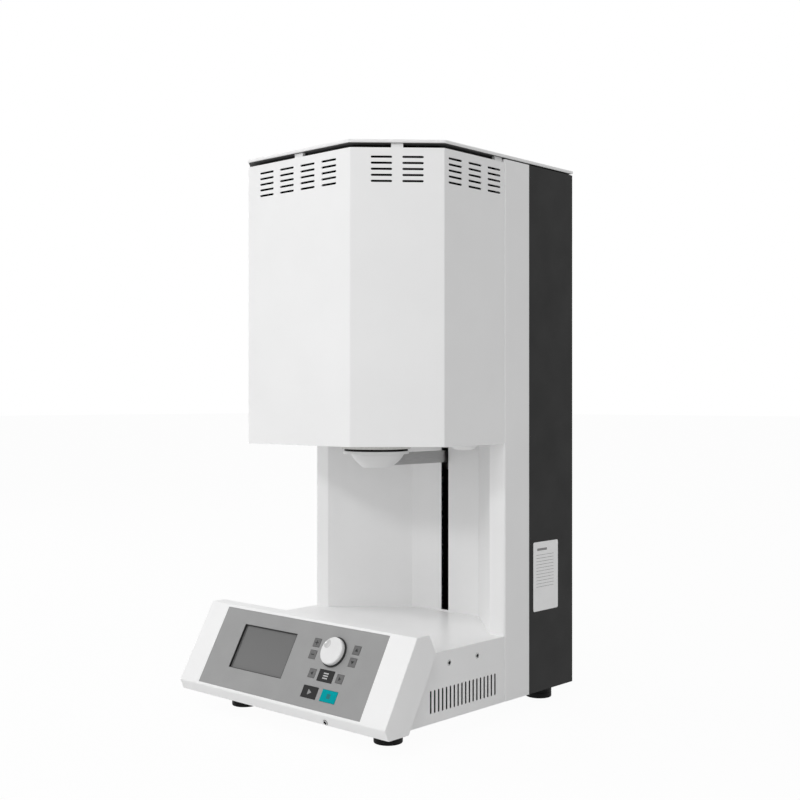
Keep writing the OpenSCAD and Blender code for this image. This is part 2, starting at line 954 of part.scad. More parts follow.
module flat_screws() {
  color(steel) {
    side_screw_places()
      flat_screw();
    lip_screw_place()
      flat_screw();
  }
}

module panel_slab(grow_x, grow_s, w0, w1) {
  on_panel(panel_x, panel_s, 0)
    centred_box(panel_w + 2 * grow_x, panel_h + 2 * grow_s, w0, w1);
}

module console_housing() {
  color(white)
    difference() {
      side_prism(rounded(console_side, [1, 1, 1, 1, 1, 1] * bend_r), console_w);
      side_prism(rounded(inset(console_side, console_wall), [1, 1, 1, 1, 1, 1] * (bend_r - console_wall)),
                 console_w - 2 * console_wall);
      panel_slab(fit_gap, fit_gap, -3 * console_wall, cut);
      lip_screw_place()
        flat_screw_cut();
    }
}

// Every key's place, size and colour
small = [key_w, key_h];
big = [big_key_w, big_key_h];
key_places = [
  [pad_x - key_far, row_top, small],
  [pad_x - key_far, row_second, small],
  [pad_x + key_far, row_top, small],
  [pad_x + key_far, row_second, small],
  [pad_x - key_near, row_program, small],
  [pad_x + key_near, row_program, small],
  [pad_x, row_program, big],
  [pad_x - key_pair, row_start, big],
  [pad_x + key_pair, row_start, big]
];
knob_s = (row_top + row_second) / 2;

module centred_box(w, h, z0, z1) {
  translate([0, 0, (z0 + z1) / 2])
    cube([w, h, z1 - z0], center = true);
}

module control_panel() {
  color("#9E9E9E")
    difference() {
      panel_slab(0, 0, -console_wall, 0);
      on_panel(window_x, window_s, 0)
        centred_box(window_w, window_h, -2 * console_wall, cut);
      on_panel(pad_x, knob_s, -console_wall - cut)
        cylinder(r = encoder_r + 3 + fit_gap, h = console_wall + 2 * cut);
      for (key = key_places)
        on_panel(key[0], key[1], 0)
          centred_box(key[2].x + 2 * fit_gap, key[2].y + 2 * fit_gap, -2 * console_wall, cut);
    }
}

module panel_carrier() {
  color(black)
    difference() {
      panel_slab(carrier_grow.x, carrier_grow.y, -carrier_w, -console_wall);
      on_panel(window_x, window_s, 0)
        centred_box(window_w + 2 * glass_rim + 2 * fit_gap, window_h + 2 * glass_rim + 2 * fit_gap,
                    -carrier_w - cut, cut);
      on_panel(pad_x, knob_s, -carrier_w - cut)
        cylinder(r = encoder_r + 3 + fit_gap, h = carrier_w + 2 * cut);
      for (key = key_places)
        on_panel(key[0], key[1], 0)
          centred_box(stem_w + 2 * fit_gap, stem_w + 2 * fit_gap, -carrier_w - cut, cut);
    }
}

module display_bezel() {
  color(black)
    on_panel(window_x, window_s, 0)
      difference() {
        centred_box(window_w - 0.1, window_h - 0.1, -window_depth, -0.2);
        centred_box(window_w - 2 * bezel_t, window_h - 2 * bezel_t, -window_depth - cut, cut);
      }
}

module display_module() {
  color("#757575")
    on_panel(window_x, window_s, 0) {
      centred_box(window_w + 2 * glass_rim, window_h + 2 * glass_rim, -carrier_w - 0.01,
                  -window_depth);
      centred_box(window_w + 12, window_h + 12, -carrier_w - 8, -carrier_w);
    }
}

// The key board stands on four posts behind the carrier
module key_board() {
  low = -carrier_w - board_gap;
  color("#1F6B45")
    on_panel(pad_x, board_s, 0) {
      centred_box(board_w, board_h, low - board_t, low);
      for (sx = [-1, 1], sy = [-1, 1])
        translate([sx * (board_w / 2 - 4), sy * (board_h / 2 - 4), low])
          cylinder(r = 3, h = board_gap, $fn = 24);
    }
}

module encoder() {
  low = -carrier_w - board_gap;
  color(steel)
    on_panel(pad_x, knob_s, 0)
      difference() {
        union() {
          centred_box(13, 13, low, -carrier_w);
          translate([0, 0, -carrier_w - 0.01])
            cylinder(r = encoder_r + 3, h = carrier_w + 0.01);
        }
        translate([0, 0, low + 1])
          cylinder(r = encoder_r + run_gap, h = board_gap + carrier_w + cut);
      }
}

skirt_w0 = 0.3;
knob_w0 = skirt_w0 + skirt_t;

module knob() {
  round_r = 2;
  dimple_r = 12;
  dimple_deep = 1.6;
  bore = encoder_r + fit_gap;
  color("#F2F2F2")
    on_panel(pad_x, knob_s, 0)
      difference() {
        rotate_extrude($fn = 96)
          polygon(concat(
            [[0, knob_w0], [knob_r - 0.4, knob_w0], [knob_r, knob_w0 + 0.4]],
            corner([knob_r, knob_w0], [knob_r, knob_h], [0, knob_h], round_r),
            [[0, knob_h]]
          ));
        translate([0, 0, knob_w0 - cut])
          cylinder(r = bore, h = knob_h - knob_w0 - 1.5 + cut, $fn = 32);
        rotate([0, 0, 142])
          translate([knob_r * 0.68, 0, knob_h + dimple_r - dimple_deep])
            sphere(r = dimple_r, $fn = 64);
      }
}

module knob_skirt() {
  color(black)
    on_panel(pad_x, knob_s, 0) {
      translate([0, 0, skirt_w0])
        cylinder(r = knob_r + skirt_w, h = skirt_t);
      translate([0, 0, -carrier_w - board_gap + 1.2])
        cylinder(r = encoder_r, h = carrier_w + board_gap + knob_h - 3, $fn = 32);
    }
}

module key(i, shade) {
  cap_low = -console_wall + key_travel + 0.1;
  stem_low = -carrier_w - board_gap + key_travel + 0.3;
  place = key_places[i];
  color(shade)
    on_panel(place[0], place[1], 0) {
      centred_box(place[2].x, place[2].y, cap_low, key_proud);
      centred_box(stem_w, stem_w, stem_low, cap_low + 0.01);
    }
}

module drive_bores(clear) {
  translate([0, screw_y, 0])
    cylinder(r = screw_r + clear, h = overall_h);
  for (side = [-1, 1])
    translate([side * rod_x, screw_y, 0])
      cylinder(r = rod_r + clear, h = overall_h);
}

module guide_rods() {
  color(steel)
    for (side = [-1, 1])
      translate([side * rod_x, screw_y, low_block_top - block_t])
        cylinder(r = rod_r, h = screw_top - low_block_top + block_t);
}

module drive_blocks() {
  color("#8F9498")
    for (z = [low_block_top - block_t, high_block_z])
      difference() {
        block(-block_w / 2, block_w / 2, block_front_y, block_rear_y, z, z + block_t);
        drive_bores(run_gap);
      }
}

module lift_motor() {
  color("#4A4C4F")
    difference() {
      block(-motor_w / 2, motor_w / 2, screw_y - motor_w / 2,
            min(screw_y + motor_w / 2, panel_in_y - sheet - 1), plate_top, motor_top);
      translate([0, screw_y, motor_top - shaft_deep])
        cylinder(r = shaft_r + run_gap, h = shaft_deep + cut, $fn = 32);
    }
}

module shaft_coupling() {
  color("#C9CCD0")
    translate([0, screw_y, 0])
      difference() {
        union() {
          translate([0, 0, motor_top + coupling_gap])
            cylinder(r = coupling_r, h = coupling_top - motor_top - coupling_gap);
          translate([0, 0, motor_top - shaft_deep + 0.3])
            cylinder(r = shaft_r, h = shaft_deep + coupling_gap, $fn = 32);
        }
        translate([0, 0, screw_z])
          cylinder(r = screw_r + run_gap, h = socket_deep + cut);
      }
}

module lead_screw() {
  color(steel)
    translate([0, screw_y, screw_z])
      cylinder(r = screw_r, h = screw_top - screw_z);
}

module carriage() {
  low = carriage_z;
  color("#9DA2A6")
    difference() {
      block(-carriage_w / 2, carriage_w / 2, screw_y - carriage_d / 2, screw_y + carriage_d / 2,
            low, low + carriage_h);
      translate([0, screw_y, low - cut])
        cylinder(r = nut_r + fit_gap, h = carriage_h + 2 * cut);
      for (side = [-1, 1])
        translate([side * rod_x, screw_y, low - cut])
          cylinder(r = rod_r + bush_wall + run_gap, h = carriage_h + 2 * cut);
    }
}

module lift_nut() {
  color("#C79A3E")
    translate([0, screw_y, 0])
      difference() {
        union() {
          translate([0, 0, carriage_z])
            cylinder(r = nut_r, h = carriage_h);
          translate([0, 0, carriage_z + carriage_h])
            cylinder(r = nut_r + nut_flange_w, h = nut_flange_t);
        }
        translate([0, 0, carriage_z - cut])
          cylinder(r = screw_r + run_gap, h = carriage_h + nut_flange_t + 2 * cut);
      }
}

module carriage_bushes() {
  color("#C79A3E")
    for (side = [-1, 1])
      translate([side * rod_x, screw_y, 0])
        tube(rod_r + bush_wall, rod_r + run_gap, carriage_z, carriage_z + carriage_h);
}

// A flat bar on edge runs from the pan's hub through the slot to the carriage
module lift_arm() {
  foot_y = screw_y - carriage_d / 2;
  color("#8E8E8E") {
    block(-arm_t / 2, arm_t / 2, chamber_y, foot_y - arm_foot_t / 2, arm_z, arm_top);
    block(-arm_foot_w / 2, arm_foot_w / 2, foot_y - arm_foot_t, foot_y, carriage_z + 3,
          carriage_z + carriage_h - 3);
    at_chamber()
      translate([0, 0, pan_low_z + pan_wall])
        cylinder(r = hub_r, h = pan_z - pan_low_z - pan_wall);
  }
}

// A spun conical pan under a flat rim, slotted for the arm
module tray_pan() {
  lip_t = 2;
  foot_round = 2;
  side_round = 40;
  mid_r = (pan_top_r + pan_low_r) / 2 + pan_swell;
  mid_z = (pan_z + pan_low_z) / 2;
  low_in_z = pan_low_z + pan_wall;
  low_in_r = pan_low_r + (mid_r - pan_low_r) * pan_wall / (mid_z - pan_low_z) - pan_wall;
  color("#D6D6D6")
    difference() {
      at_chamber()
        difference() {
          rotate_extrude($fn = 96)
            polygon(concat(
              [[0, pan_low_z]],
              corner([0, pan_low_z], [pan_low_r, pan_low_z], [mid_r, mid_z], foot_round),
              corner([pan_low_r, pan_low_z], [mid_r, mid_z], [pan_top_r, pan_z], side_round),
              [[pan_top_r, pan_z], [rim_r - lip_t, pan_z], [rim_r - lip_t, rim_z - tray_lip_h]],
              [[rim_r, rim_z - tray_lip_h], [rim_r, rim_z], [0, rim_z]]
            ));
          rotate_extrude($fn = 96)
            polygon([
              [0, low_in_z], [low_in_r, low_in_z], [mid_r - pan_wall, mid_z],
              [pan_top_r - pan_wall, pan_z], [0, pan_z]
            ]);
        }
      block(-arm_t / 2 - fit_gap, arm_t / 2 + fit_gap, chamber_y, chamber_y + rim_r + cut,
            arm_z - fit_gap, arm_top + fit_gap);
    }
}
module plug_seat() {
  color("#2A2A2A")
    at_chamber()
      rotate_extrude($fn = 96)
        polygon([
          [0, rim_z], [seat_flange_r, rim_z], [seat_flange_r, rim_z + seat_flange_t],
          [seat_r, rim_z + seat_flange_t], [seat_r, plug_z], [0, plug_z]
        ]);
}

module firing_plug() {
  step = 3;
  color(fibre)
    at_chamber() {
      translate([0, 0, plug_z])
        cylinder(r = plug_r, h = plug_h * 0.6);
      translate([0, 0, plug_z + plug_h * 0.5])
        cylinder(r = plug_r - step, h = plug_h * 0.5);
    }
}

module firing_tray() {
  wall = 3;
  color("#EDE9DF")
    at_chamber()
      translate([0, 0, plug_top])
        rotate_extrude($fn = 96)
          polygon([
            [0, 0], [dish_r - 1, 0], [dish_r, 1], [dish_r, dish_h], [dish_r - wall, dish_h],
            [dish_r - wall, wall], [0, wall]
          ]);
}

// Power parts stand on the base plate
core_w = 96;
core_d = 58;
core_h = 78;
coil_grow = 14;
coil_h = 52;
core_x = -body_w / 4;
core_y = column_y - head_d / 2;
window_gap = 18;

module transformer_core() {
  color("#55585B")
    translate([core_x, core_y, plate_top])
      difference() {
        translate([0, 0, core_h / 2])
          cube([core_w, core_d, core_h], center = true);
        for (side = [-1, 1])
          translate([side * (core_w / 4), 0, core_h / 2])
            cube([window_gap, core_d + 2 * cut, coil_h + 0.4], center = true);
      }
}

module transformer_coil() {
  inner = core_w / 2 - window_gap;
  color("#B98B4A")
    translate([core_x, core_y, plate_top + core_h / 2])
      difference() {
        cube([core_w / 2 + window_gap - 0.6, core_d + 2 * coil_grow, coil_h], center = true);
        cube([inner + 0.4, core_d + 0.4, coil_h + 2 * cut], center = true);
      }
}

power_board_size = [140, 110];
power_post_h = 8;
power_post_r = 3;
sink_len = 46;
sink_h = 40;
sink_base_h = 6;
fin_t = 2.4;
fin_pitch = 9;
fins = 7;
can_r = 8;
can_h = 28;
can_pitch = 20;

// A board on posts, with a finned heat sink and three capacitors
module power_board() {
  top = power_post_h + board_t;
  edge = power_board_size / 2 - [1, 1] * 2 * power_post_r;
  color("#1F6B45")
    translate([body_w / 4, core_y + power_post_h, plate_top]) {
      translate([0, 0, power_post_h + board_t / 2])
        cube([power_board_size.x, power_board_size.y, board_t], center = true);
      for (sx = [-1, 1], sy = [-1, 1])
        translate([sx * edge.x, sy * edge.y, 0])
          cylinder(r = power_post_r, h = power_post_h + board_t / 2, $fn = 24);
      translate([-edge.x, -edge.y, top - board_t / 2]) {
        for (k = [0:fins - 1])
          translate([0, k * fin_pitch, 0])
            cube([sink_len, fin_t, sink_h]);
        cube([sink_len, (fins - 1) * fin_pitch + fin_t, sink_base_h]);
      }
      for (k = [0:2])
        translate([can_r + k * can_pitch, edge.y / 2, top - board_t / 2])
          cylinder(r = can_r, h = can_h, $fn = 32);
    }
}

// A combined inlet: a mains socket below a rocker switch
inlet_body_w = inlet_w - 8;
inlet_body_h = inlet_h - 6;
inlet_deep = 26;
inlet_t = 2;
socket_w = 27;
socket_h = 19;
socket_cut = 17;
socket_y = -14;
pin_len = 10;
rocker_y = 17;
rocker_w = 22;
rocker_h = 13.6;
rocker_window = [rocker_w + 2.6, rocker_h + 0.5];
rocker_pin_r = 1.3;
rocker_pin_reach = 1.6;
rocker_pivot = -4;
rocker_tilt = 8;

module power_inlet() {
  color(black)
    on_rear(inlet_x, panel_out_y, fan_z) {
      difference() {
        union() {
          centred_box(inlet_w, inlet_h, 0, inlet_t);
          centred_box(inlet_body_w, inlet_body_h, -inlet_deep, cut);
        }
        translate([0, socket_y, 0])
          centred_box(socket_w, socket_h, inlet_t - socket_cut, inlet_t + cut);
        translate([0, rocker_y, 0])
          centred_box(rocker_window.x, rocker_window.y, rocker_pivot - 9, inlet_t + cut);
        translate([0, rocker_y, rocker_pivot])
          rotate([90, 0, 0])
            cylinder(r = rocker_pin_r + run_gap, h = rocker_window.y + 2 * rocker_pin_reach + 0.4,
                     center = true, $fn = 32);
      }
      for (pin = [[0, 4], [-7, -2], [7, -2]])
        translate([pin.x, socket_y + pin.y, 0])
          centred_box(2, 5, inlet_t - socket_cut - 0.1, inlet_t - socket_cut + pin_len);
    }
}

module mains_rocker() {
  half = rocker_w / 2;
  color("#8E1D1D")
    on_rear(inlet_x, panel_out_y, fan_z)
      translate([0, rocker_y, rocker_pivot])
        rotate([0, rocker_tilt, 0])
          rotate([90, 0, 0]) {
            translate([0, 0, -rocker_h / 2])
              linear_extrude(rocker_h)
                polygon([
                  [-half + 1.5, -4], [half - 1.5, -4], [half, 5.2], [half * 0.5, 4.4], [0, 4],
                  [-half * 0.5, 4.4], [-half, 5.2]
                ]);
            cylinder(r = rocker_pin_r, h = rocker_window.y + 2 * rocker_pin_reach, center = true,
                     $fn = 32);
          }
}

// An axial fan stands on the rear panel's inner face
fan_deep = 25;
fan_hub_r = 17;
fan_pin_r = 1.5;
fan_tip_gap = 1.5;
fan_face_gap = 3;
blade_r = fan_bore - fan_tip_gap;
blade_root = 5;
blade_chord = 22;
blade_t = 1.6;
blade_pitch = 38;
blades = 7;
strut_t = 3;
strut_w = 4;
pin_short = 6;

module on_fan() {
  on_rear(-fan_x, panel_in_y, fan_z)
    children();
}

module fan_frame() {
  color("#1D1D1D")
    on_fan() {
      difference() {
        centred_box(fan_w, fan_w, -fan_deep, 0);
        cylinder(r = fan_bore, h = 3 * fan_deep, center = true);
      }
      for (k = [0:3])
        rotate([0, 0, 45 + 90 * k])
          translate([fan_bore / 2, 0, 0])
            centred_box(fan_bore + strut_t, strut_w, -fan_deep, -fan_deep + strut_t);
      translate([0, 0, -fan_deep])
        cylinder(r = fan_hub_r, h = strut_t);
      translate([0, 0, -fan_deep])
        cylinder(r = fan_pin_r, h = fan_deep - pin_short, $fn = 32);
    }
}

module fan_rotor() {
  low = -fan_deep + strut_t + 0.3;
  h = -low - fan_face_gap;
  color("#262626")
    on_fan()
      translate([0, 0, low])
        difference() {
          union() {
            cylinder(r = fan_hub_r, h = h);
            intersection() {
              cylinder(r = blade_r, h = h);
              for (k = [0:blades - 1])
                rotate([0, 0, 360 * k / blades])
                  translate([blade_r / 2 + blade_root, 0, h / 2])
                    rotate([blade_pitch, 0, 0])
                      cube([blade_r, blade_chord, blade_t], center = true);
            }
          }
          translate([0, 0, -cut])
            cylinder(r = fan_pin_r + run_gap, h = cut - low - pin_short + 0.3, $fn = 32);
        }
}

module fan_guard() {
  t = 1.6;
  wire_w = 2;
  spoke_w = 3;
  pad_r = 4.5;
  ring_pitch = fan_bore * 0.21;
  pad = fan_bore + 2 * pad_r;
  color(steel)
    on_rear(-fan_x, panel_out_y, fan_z) {
      cylinder(r = 1.5 * ring_pitch, h = t);
      for (k = [1:3])
        tube((1.5 + k) * ring_pitch + wire_w, (1.5 + k) * ring_pitch, 0, t);
      for (k = [0:3])
        rotate([0, 0, 45 + 90 * k]) {
          translate([(ring_pitch + pad) / 2, 0, 0])
            centred_box(pad - ring_pitch, spoke_w, 0, t);
          translate([pad, 0, 0])
            cylinder(r = pad_r, h = t, $fn = 24);
        }
    }
}

head_shell();
head_floor();
floor_caps();
mouth_ring();
chamber_floor();
chamber_wall();
chamber_roof();
chamber_casing();
heating_elements();
element_holders();
thermocouple();
top_plate();
plate_standoffs();
column_liner();
rear_housing();
rear_panel();
base_shell();
base_plate();
feet();
pan_screws();
flat_screws();
console_housing();
control_panel();
panel_carrier();
display_bezel();
display_module();
key_board();
encoder();
guide_rods();
drive_blocks();
lift_motor();
transformer_core();
transformer_coil();
power_board();
power_inlet();
fan_frame();
fan_guard();
fan_rotor();
mains_rocker();
knob();
knob_skirt();
carriage();
lift_nut();
carriage_bushes();
lift_arm();
tray_pan();
plug_seat();
firing_plug();
firing_tray();
lead_screw();
shaft_coupling();
key(0, "#6B6B6B");  // key_upper_left
key(1, "#6B6B6B");  // key_lower_left
key(2, "#6B6B6B");  // key_upper_right
key(3, "#6B6B6B");  // key_lower_right
key(4, "#6B6B6B");  // key_back
key(5, "#6B6B6B");  // key_next
key(6, "#2E2E2E");  // key_program
key(7, "#2E2E2E");  // key_start
key(8, "#009FA3");  // key_stop
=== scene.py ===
import json
import math

import bmesh
import bpy
from mathutils import Matrix, Vector


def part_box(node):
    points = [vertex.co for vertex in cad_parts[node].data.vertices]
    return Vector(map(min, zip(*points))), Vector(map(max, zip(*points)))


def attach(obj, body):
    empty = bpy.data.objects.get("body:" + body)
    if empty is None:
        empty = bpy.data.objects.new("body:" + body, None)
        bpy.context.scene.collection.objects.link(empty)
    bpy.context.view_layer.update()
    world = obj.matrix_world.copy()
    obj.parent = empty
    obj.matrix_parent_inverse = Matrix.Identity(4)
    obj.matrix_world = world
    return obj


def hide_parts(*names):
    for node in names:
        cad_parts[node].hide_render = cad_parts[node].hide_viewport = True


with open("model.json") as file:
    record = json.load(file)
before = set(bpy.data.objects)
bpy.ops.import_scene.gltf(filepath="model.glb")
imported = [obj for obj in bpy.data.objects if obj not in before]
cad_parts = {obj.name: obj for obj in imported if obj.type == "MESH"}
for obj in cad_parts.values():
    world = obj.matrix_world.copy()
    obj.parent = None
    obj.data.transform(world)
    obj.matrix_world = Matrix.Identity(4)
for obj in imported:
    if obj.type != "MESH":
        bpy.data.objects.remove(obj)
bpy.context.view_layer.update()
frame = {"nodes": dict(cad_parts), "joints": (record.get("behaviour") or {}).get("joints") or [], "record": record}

MM = 0.001
# Points closer than this are one point
WELD = 0.002 * MM
# A point this close to a face lies on it
ON_FACE = 0.05 * MM


# Materials


def linear(colour):
    """An sRGB hex colour as linear RGBA."""
    parts = [int(colour[i : i + 2], 16) / 255 for i in (1, 3, 5)]
    return (*(p / 12.92 if p <= 0.04045 else ((p + 0.055) / 1.055) ** 2.4 for p in parts), 1.0)


def add(tree, kind, inputs=(), **settings):
    """Adds a node with its settings, and fills inputs with values or other nodes' sockets."""
    node = tree.nodes.new(kind)
    for name, value in settings.items():
        setattr(node, name, value)
    for key, value in dict(inputs).items():
        socket = node.inputs[key]
        if isinstance(value, bpy.types.NodeSocket):
            tree.links.new(value, socket)
        else:
            socket.default_value = value
    return node


def new_material(name, colour, roughness, metallic=0.0, **sockets):
    """A Principled material whose uniform values sit on the shader's own sockets."""
    material = bpy.data.materials.new(name)
    material.use_nodes = True
    tree = material.node_tree
    shader = tree.nodes["Principled BSDF"]
    shader.inputs["Base Color"].default_value = linear(colour)
    shader.inputs["Roughness"].default_value = roughness
    shader.inputs["Metallic"].default_value = metallic
    for key, value in sockets.items():
        shader.inputs[key.replace("_", " ")].default_value = value
    where = add(tree, "ShaderNodeTexCoord").outputs["Object"]
    return material, tree, shader, where


def noise(tree, where, grain_mm, detail=2.0, roughness=0.5, stretch=None):
    """Noise whose cells are about grain_mm across, or longer along one axis."""
    if stretch:
        mapping = add(tree, "ShaderNodeMapping", {"Vector": where, "Scale": stretch})
        where = mapping.outputs["Vector"]
    texture = add(
        tree,
        "ShaderNodeTexNoise",
        {"Vector": where, "Scale": 1 / (grain_mm * MM), "Detail": detail, "Roughness": roughness},
    )
    return texture.outputs["Fac"]


def ranged(tree, value, low, high, source=(0.3, 0.7)):
    """Maps a pattern's usual span to low..high."""
    node = add(
        tree,
        "ShaderNodeMapRange",
        {"Value": value, "From Min": source[0], "From Max": source[1],
         "To Min": low, "To Max": high},
    )
    return node.outputs["Result"]


def tint(tree, shader, pattern, dark, light, source=(0.3, 0.7)):
    """Varies the base colour between two hex colours."""
    mix = add(
        tree,
        "ShaderNodeMix",
        {"Factor": ranged(tree, pattern, 0, 1, source)},
        data_type="RGBA",
    )
    mix.inputs["A"].default_value = linear(dark)
    mix.inputs["B"].default_value = linear(light)
    tree.links.new(mix.outputs["Result"], shader.inputs["Base Color"])


def relief(tree, shader, height, depth_mm, strength=1.0):
    """Turns a pattern into fine relief of that depth."""
    bump = add(
        tree,
        "ShaderNodeBump",
        {"Height": height, "Distance": depth_mm * MM, "Strength": strength},
    )
    tree.links.new(bump.outputs["Normal"], shader.inputs["Normal"])


def varied_roughness(tree, shader, pattern, low, high):
    """Varies the roughness between two values."""
    tree.links.new(ranged(tree, pattern, low, high), shader.inputs["Roughness"])


# The powder coat's orange peel: its width, three times the real 1 mm so that it shows, and its
# depth. Then the clouds in its colour and in its roughness.
PEEL_MM, PEEL_DEPTH_MM = 3.0, 0.02
TINT_CLOUD_MM, SHEEN_CLOUD_MM = 160, 45


def powder_coat(name, dark, light, roughness, shine=0.5):
    """Polyester powder coat baked on sheet steel, with a soft gloss and a fine orange peel."""
    material, tree, shader, where = new_material(name, light, roughness)
    shader.inputs["Specular IOR Level"].default_value = shine
    peel = noise(tree, where, PEEL_MM, detail=1.0)
    relief(tree, shader, peel, PEEL_DEPTH_MM, 0.5)
    tint(tree, shader, noise(tree, where, TINT_CLOUD_MM, detail=3), dark, light)
    sheen = noise(tree, where, SHEEN_CLOUD_MM)
    varied_roughness(tree, shader, sheen, roughness - 0.04, roughness + 0.05)
    return material


def bare_sheet(name, dark, light):
    """Galvanised sheet with the dull, cloudy face that zinc leaves."""
    material, tree, shader, where = new_material(name, light, 0.42, 0.9)
    spangle_mm, haze_mm = 9, 12
    cell = add(
        tree,
        "ShaderNodeTexVoronoi",
        {"Vector": where, "Scale": 1 / (spangle_mm * MM)},
        feature="F1",
    )
    tint(tree, shader, cell.outputs["Color"], dark, light, (0.2, 0.9))
    varied_roughness(tree, shader, noise(tree, where, haze_mm), 0.36, 0.52)
    return material


def turned_metal(name, light, dark, roughness, lines_mm, stretch=(1, 1, 1)):
    """Ground or turned metal with fine lines, longer along the axis whose stretch is small."""
    material, tree, shader, where = new_material(name, light, roughness, 1.0)
    lines = noise(tree, where, lines_mm, detail=4, stretch=stretch)
    tint(tree, shader, lines, dark, light)
    varied_roughness(tree, shader, lines, roughness - 0.08, roughness + 0.1)
    relief(tree, shader, lines, 0.01, 0.4)
    return material


def screw_steel():
    """Zinc-plated steel. The mesh marks the cross recess and a sunk head's gap, which get painted shade,
    near-black.
    """
    material, tree, shader, where = new_material("zinc_screw_steel", "#D2D2D2", 0.3, 1.0)
    mark = add(tree, "ShaderNodeAttribute", attribute_name="recess").outputs["Fac"]
    # Painted shade: the marked faces turn near-black
    tint(tree, shader, mark, "#D2D2D2", "#040404", (0, 1))
    relief(tree, shader, noise(tree, where, 0.6), 0.01, 0.4)
    return material


def ceramic_fibre(name, dark, light):
    """Vacuum-formed alumina fibre: chalky, with short tangled fibres and small pits."""
    material, tree, shader, where = new_material(name, light, 0.95)
    shader.inputs["Specular IOR Level"].default_value = 0.2
    fibres = noise(tree, where, 1.6, detail=6, roughness=0.7)
    tint(tree, shader, fibres, dark, light)
    relief(tree, shader, fibres, 0.25, 0.8)
    return material


def moulded_plastic(name, dark, light, roughness, grain_mm=0.9, depth_mm=0.02, **sockets):
    """Injection-moulded plastic with a spark-eroded grain."""
    material, tree, shader, where = new_material(name, light, roughness, 0.0, **sockets)
    grain = noise(tree, where, grain_mm, detail=3)
    tint(tree, shader, noise(tree, where, 30), dark, light)
    relief(tree, shader, grain, depth_mm, 0.6)
    varied_roughness(tree, shader, grain, roughness - 0.04, roughness + 0.05)
    return material


def printed_ink(name, colour):
    """Screen-printed ink, flat and slightly rough."""
    material, tree, shader, where = new_material(name, colour, 0.6)
    relief(tree, shader, noise(tree, where, 0.8), 0.01, 0.4)
    return material


# Stretches one wave of the texture to about two wires
WAVE_STRETCH = 6.283


def wound_wire(name, dark, light, wire_mm):
    """Varnished winding wire laid side by side round the coil."""
    material, tree, shader, where = new_material(name, light, 0.3, 0.8)
    wave = add(
        tree,
        "ShaderNodeTexWave",
        {"Vector": where, "Scale": 1 / (wire_mm * MM) / WAVE_STRETCH, "Distortion": 0.2},
        bands_direction="Z",
    )
    tint(tree, shader, wave.outputs["Fac"], dark, light, (0, 1))
    relief(tree, shader, wave.outputs["Fac"], 0.4)
    return material


def circuit_board(name):
    """Glass-epoxy board under green solder resist, with lighter copper tracks."""
    material, tree, shader, where = new_material(name, "#1F6B45", 0.35)
    brick = add(
        tree,
        "ShaderNodeTexBrick",
        {"Vector": where, "Scale": 60, "Mortar Size": 0.03, "Color1": linear("#1B5E3C"),
         "Color2": linear("#21704A"), "Mortar": linear("#3C9468")},
    )
    tree.links.new(brick.outputs["Color"], shader.inputs["Base Color"])
    return material


def liquid_crystal():
    """A switched-off screen behind hard-coated acrylic: smooth grey, with painted light a little brighter at the
    bottom than at the top.
    """
    material, tree, shader, where = new_material("screen_glass", "#616161", 0.16)
    shader.inputs["Coat Weight"].default_value = 0.4
    shader.inputs["Coat Roughness"].default_value = 0.06
    low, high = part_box("display_module")
    height = add(tree, "ShaderNodeSeparateXYZ", {"Vector": where}).outputs["Z"]
    # Painted light: the screen lighter at the bottom, darker at the top
    tint(tree, shader, height, "#666666", "#5C5C5C", (low.z, high.z))
    relief(tree, shader, noise(tree, where, 1.2), 0.004, 0.3)
    return material


WHITE_COAT = powder_coat("white_powder_coat", "#EFEFEF", "#F3F3F3", 0.34)
DARK_COAT = powder_coat("anthracite_powder_coat", "#151515", "#1A1A1A", 0.50, 0.22)
PAN_COAT = powder_coat("grey_white_enamel", "#E2E2E2", "#E8E8E8", 0.30)
# Painted shade: near-black for inner faces and hidden sheet that lie in shade
INSIDE_SHADE = powder_coat("painted_shade_inside", "#0B0B0B", "#141414", 0.8, 0.1)
# Painted shade: dark grey for the walls of the base's vents
VENT_WALL_SHADE = powder_coat("vent_wall_painted_shade", "#2C2C2C", "#3A3A3A", 0.7, 0.1)
# Painted shade: dark grey for the lid's underside
LID_UNDERSIDE_SHADE = powder_coat("lid_underside_painted_shade", "#5E5E5E", "#686868", 0.7, 0.1)
ZINC_SHEET = bare_sheet("galvanised_sheet", "#A9ACAF", "#C2C5C8")
ARM_STEEL = turned_metal("brushed_arm_steel", "#C2C2C2", "#B0B0B0", 0.42, 0.8, (1, 0.05, 1))
GROUND_STEEL = turned_metal("ground_rod_steel", "#C9CCCF", "#AEB1B4", 0.25, 0.6, (1, 1, 0.1))
SCREW_STEEL = screw_steel()
SEAT_STEEL_SHADE = turned_metal("dark_seat_steel_and_shade", "#2E2E2E", "#222222", 0.5, 0.8)
ALUMINIUM = turned_metal("milled_aluminium", "#B6BABD", "#A0A4A8", 0.38, 0.7, (0.1, 1, 1))
BRONZE = turned_metal("turned_bronze", "#C79A3E", "#A97F2E", 0.3, 0.5)
FIBRE = ceramic_fibre("alumina_fibre", "#C9C8C5", "#E4E3E0")
ALUMINA = moulded_plastic("sintered_alumina", "#DDD6C6", "#EAE4D8", 0.55, 0.7, 0.03)
SILICIDE = moulded_plastic("silicide_element", "#5E5955", "#7A7470", 0.35, 2.0, 0.05)
RUBBER = moulded_plastic(
    "foot_rubber", "#050505", "#0B0B0B", 0.6, 1.0, 0.05, Specular_IOR_Level=0.15
)
BLACK_PLASTIC = moulded_plastic("black_plastic", "#131313", "#1B1B1B", 0.45)
KNOB_PLASTIC = moulded_plastic("white_knob_plastic", "#E2E2E2", "#E7E7E7", 0.16, 1.2, 0.001)
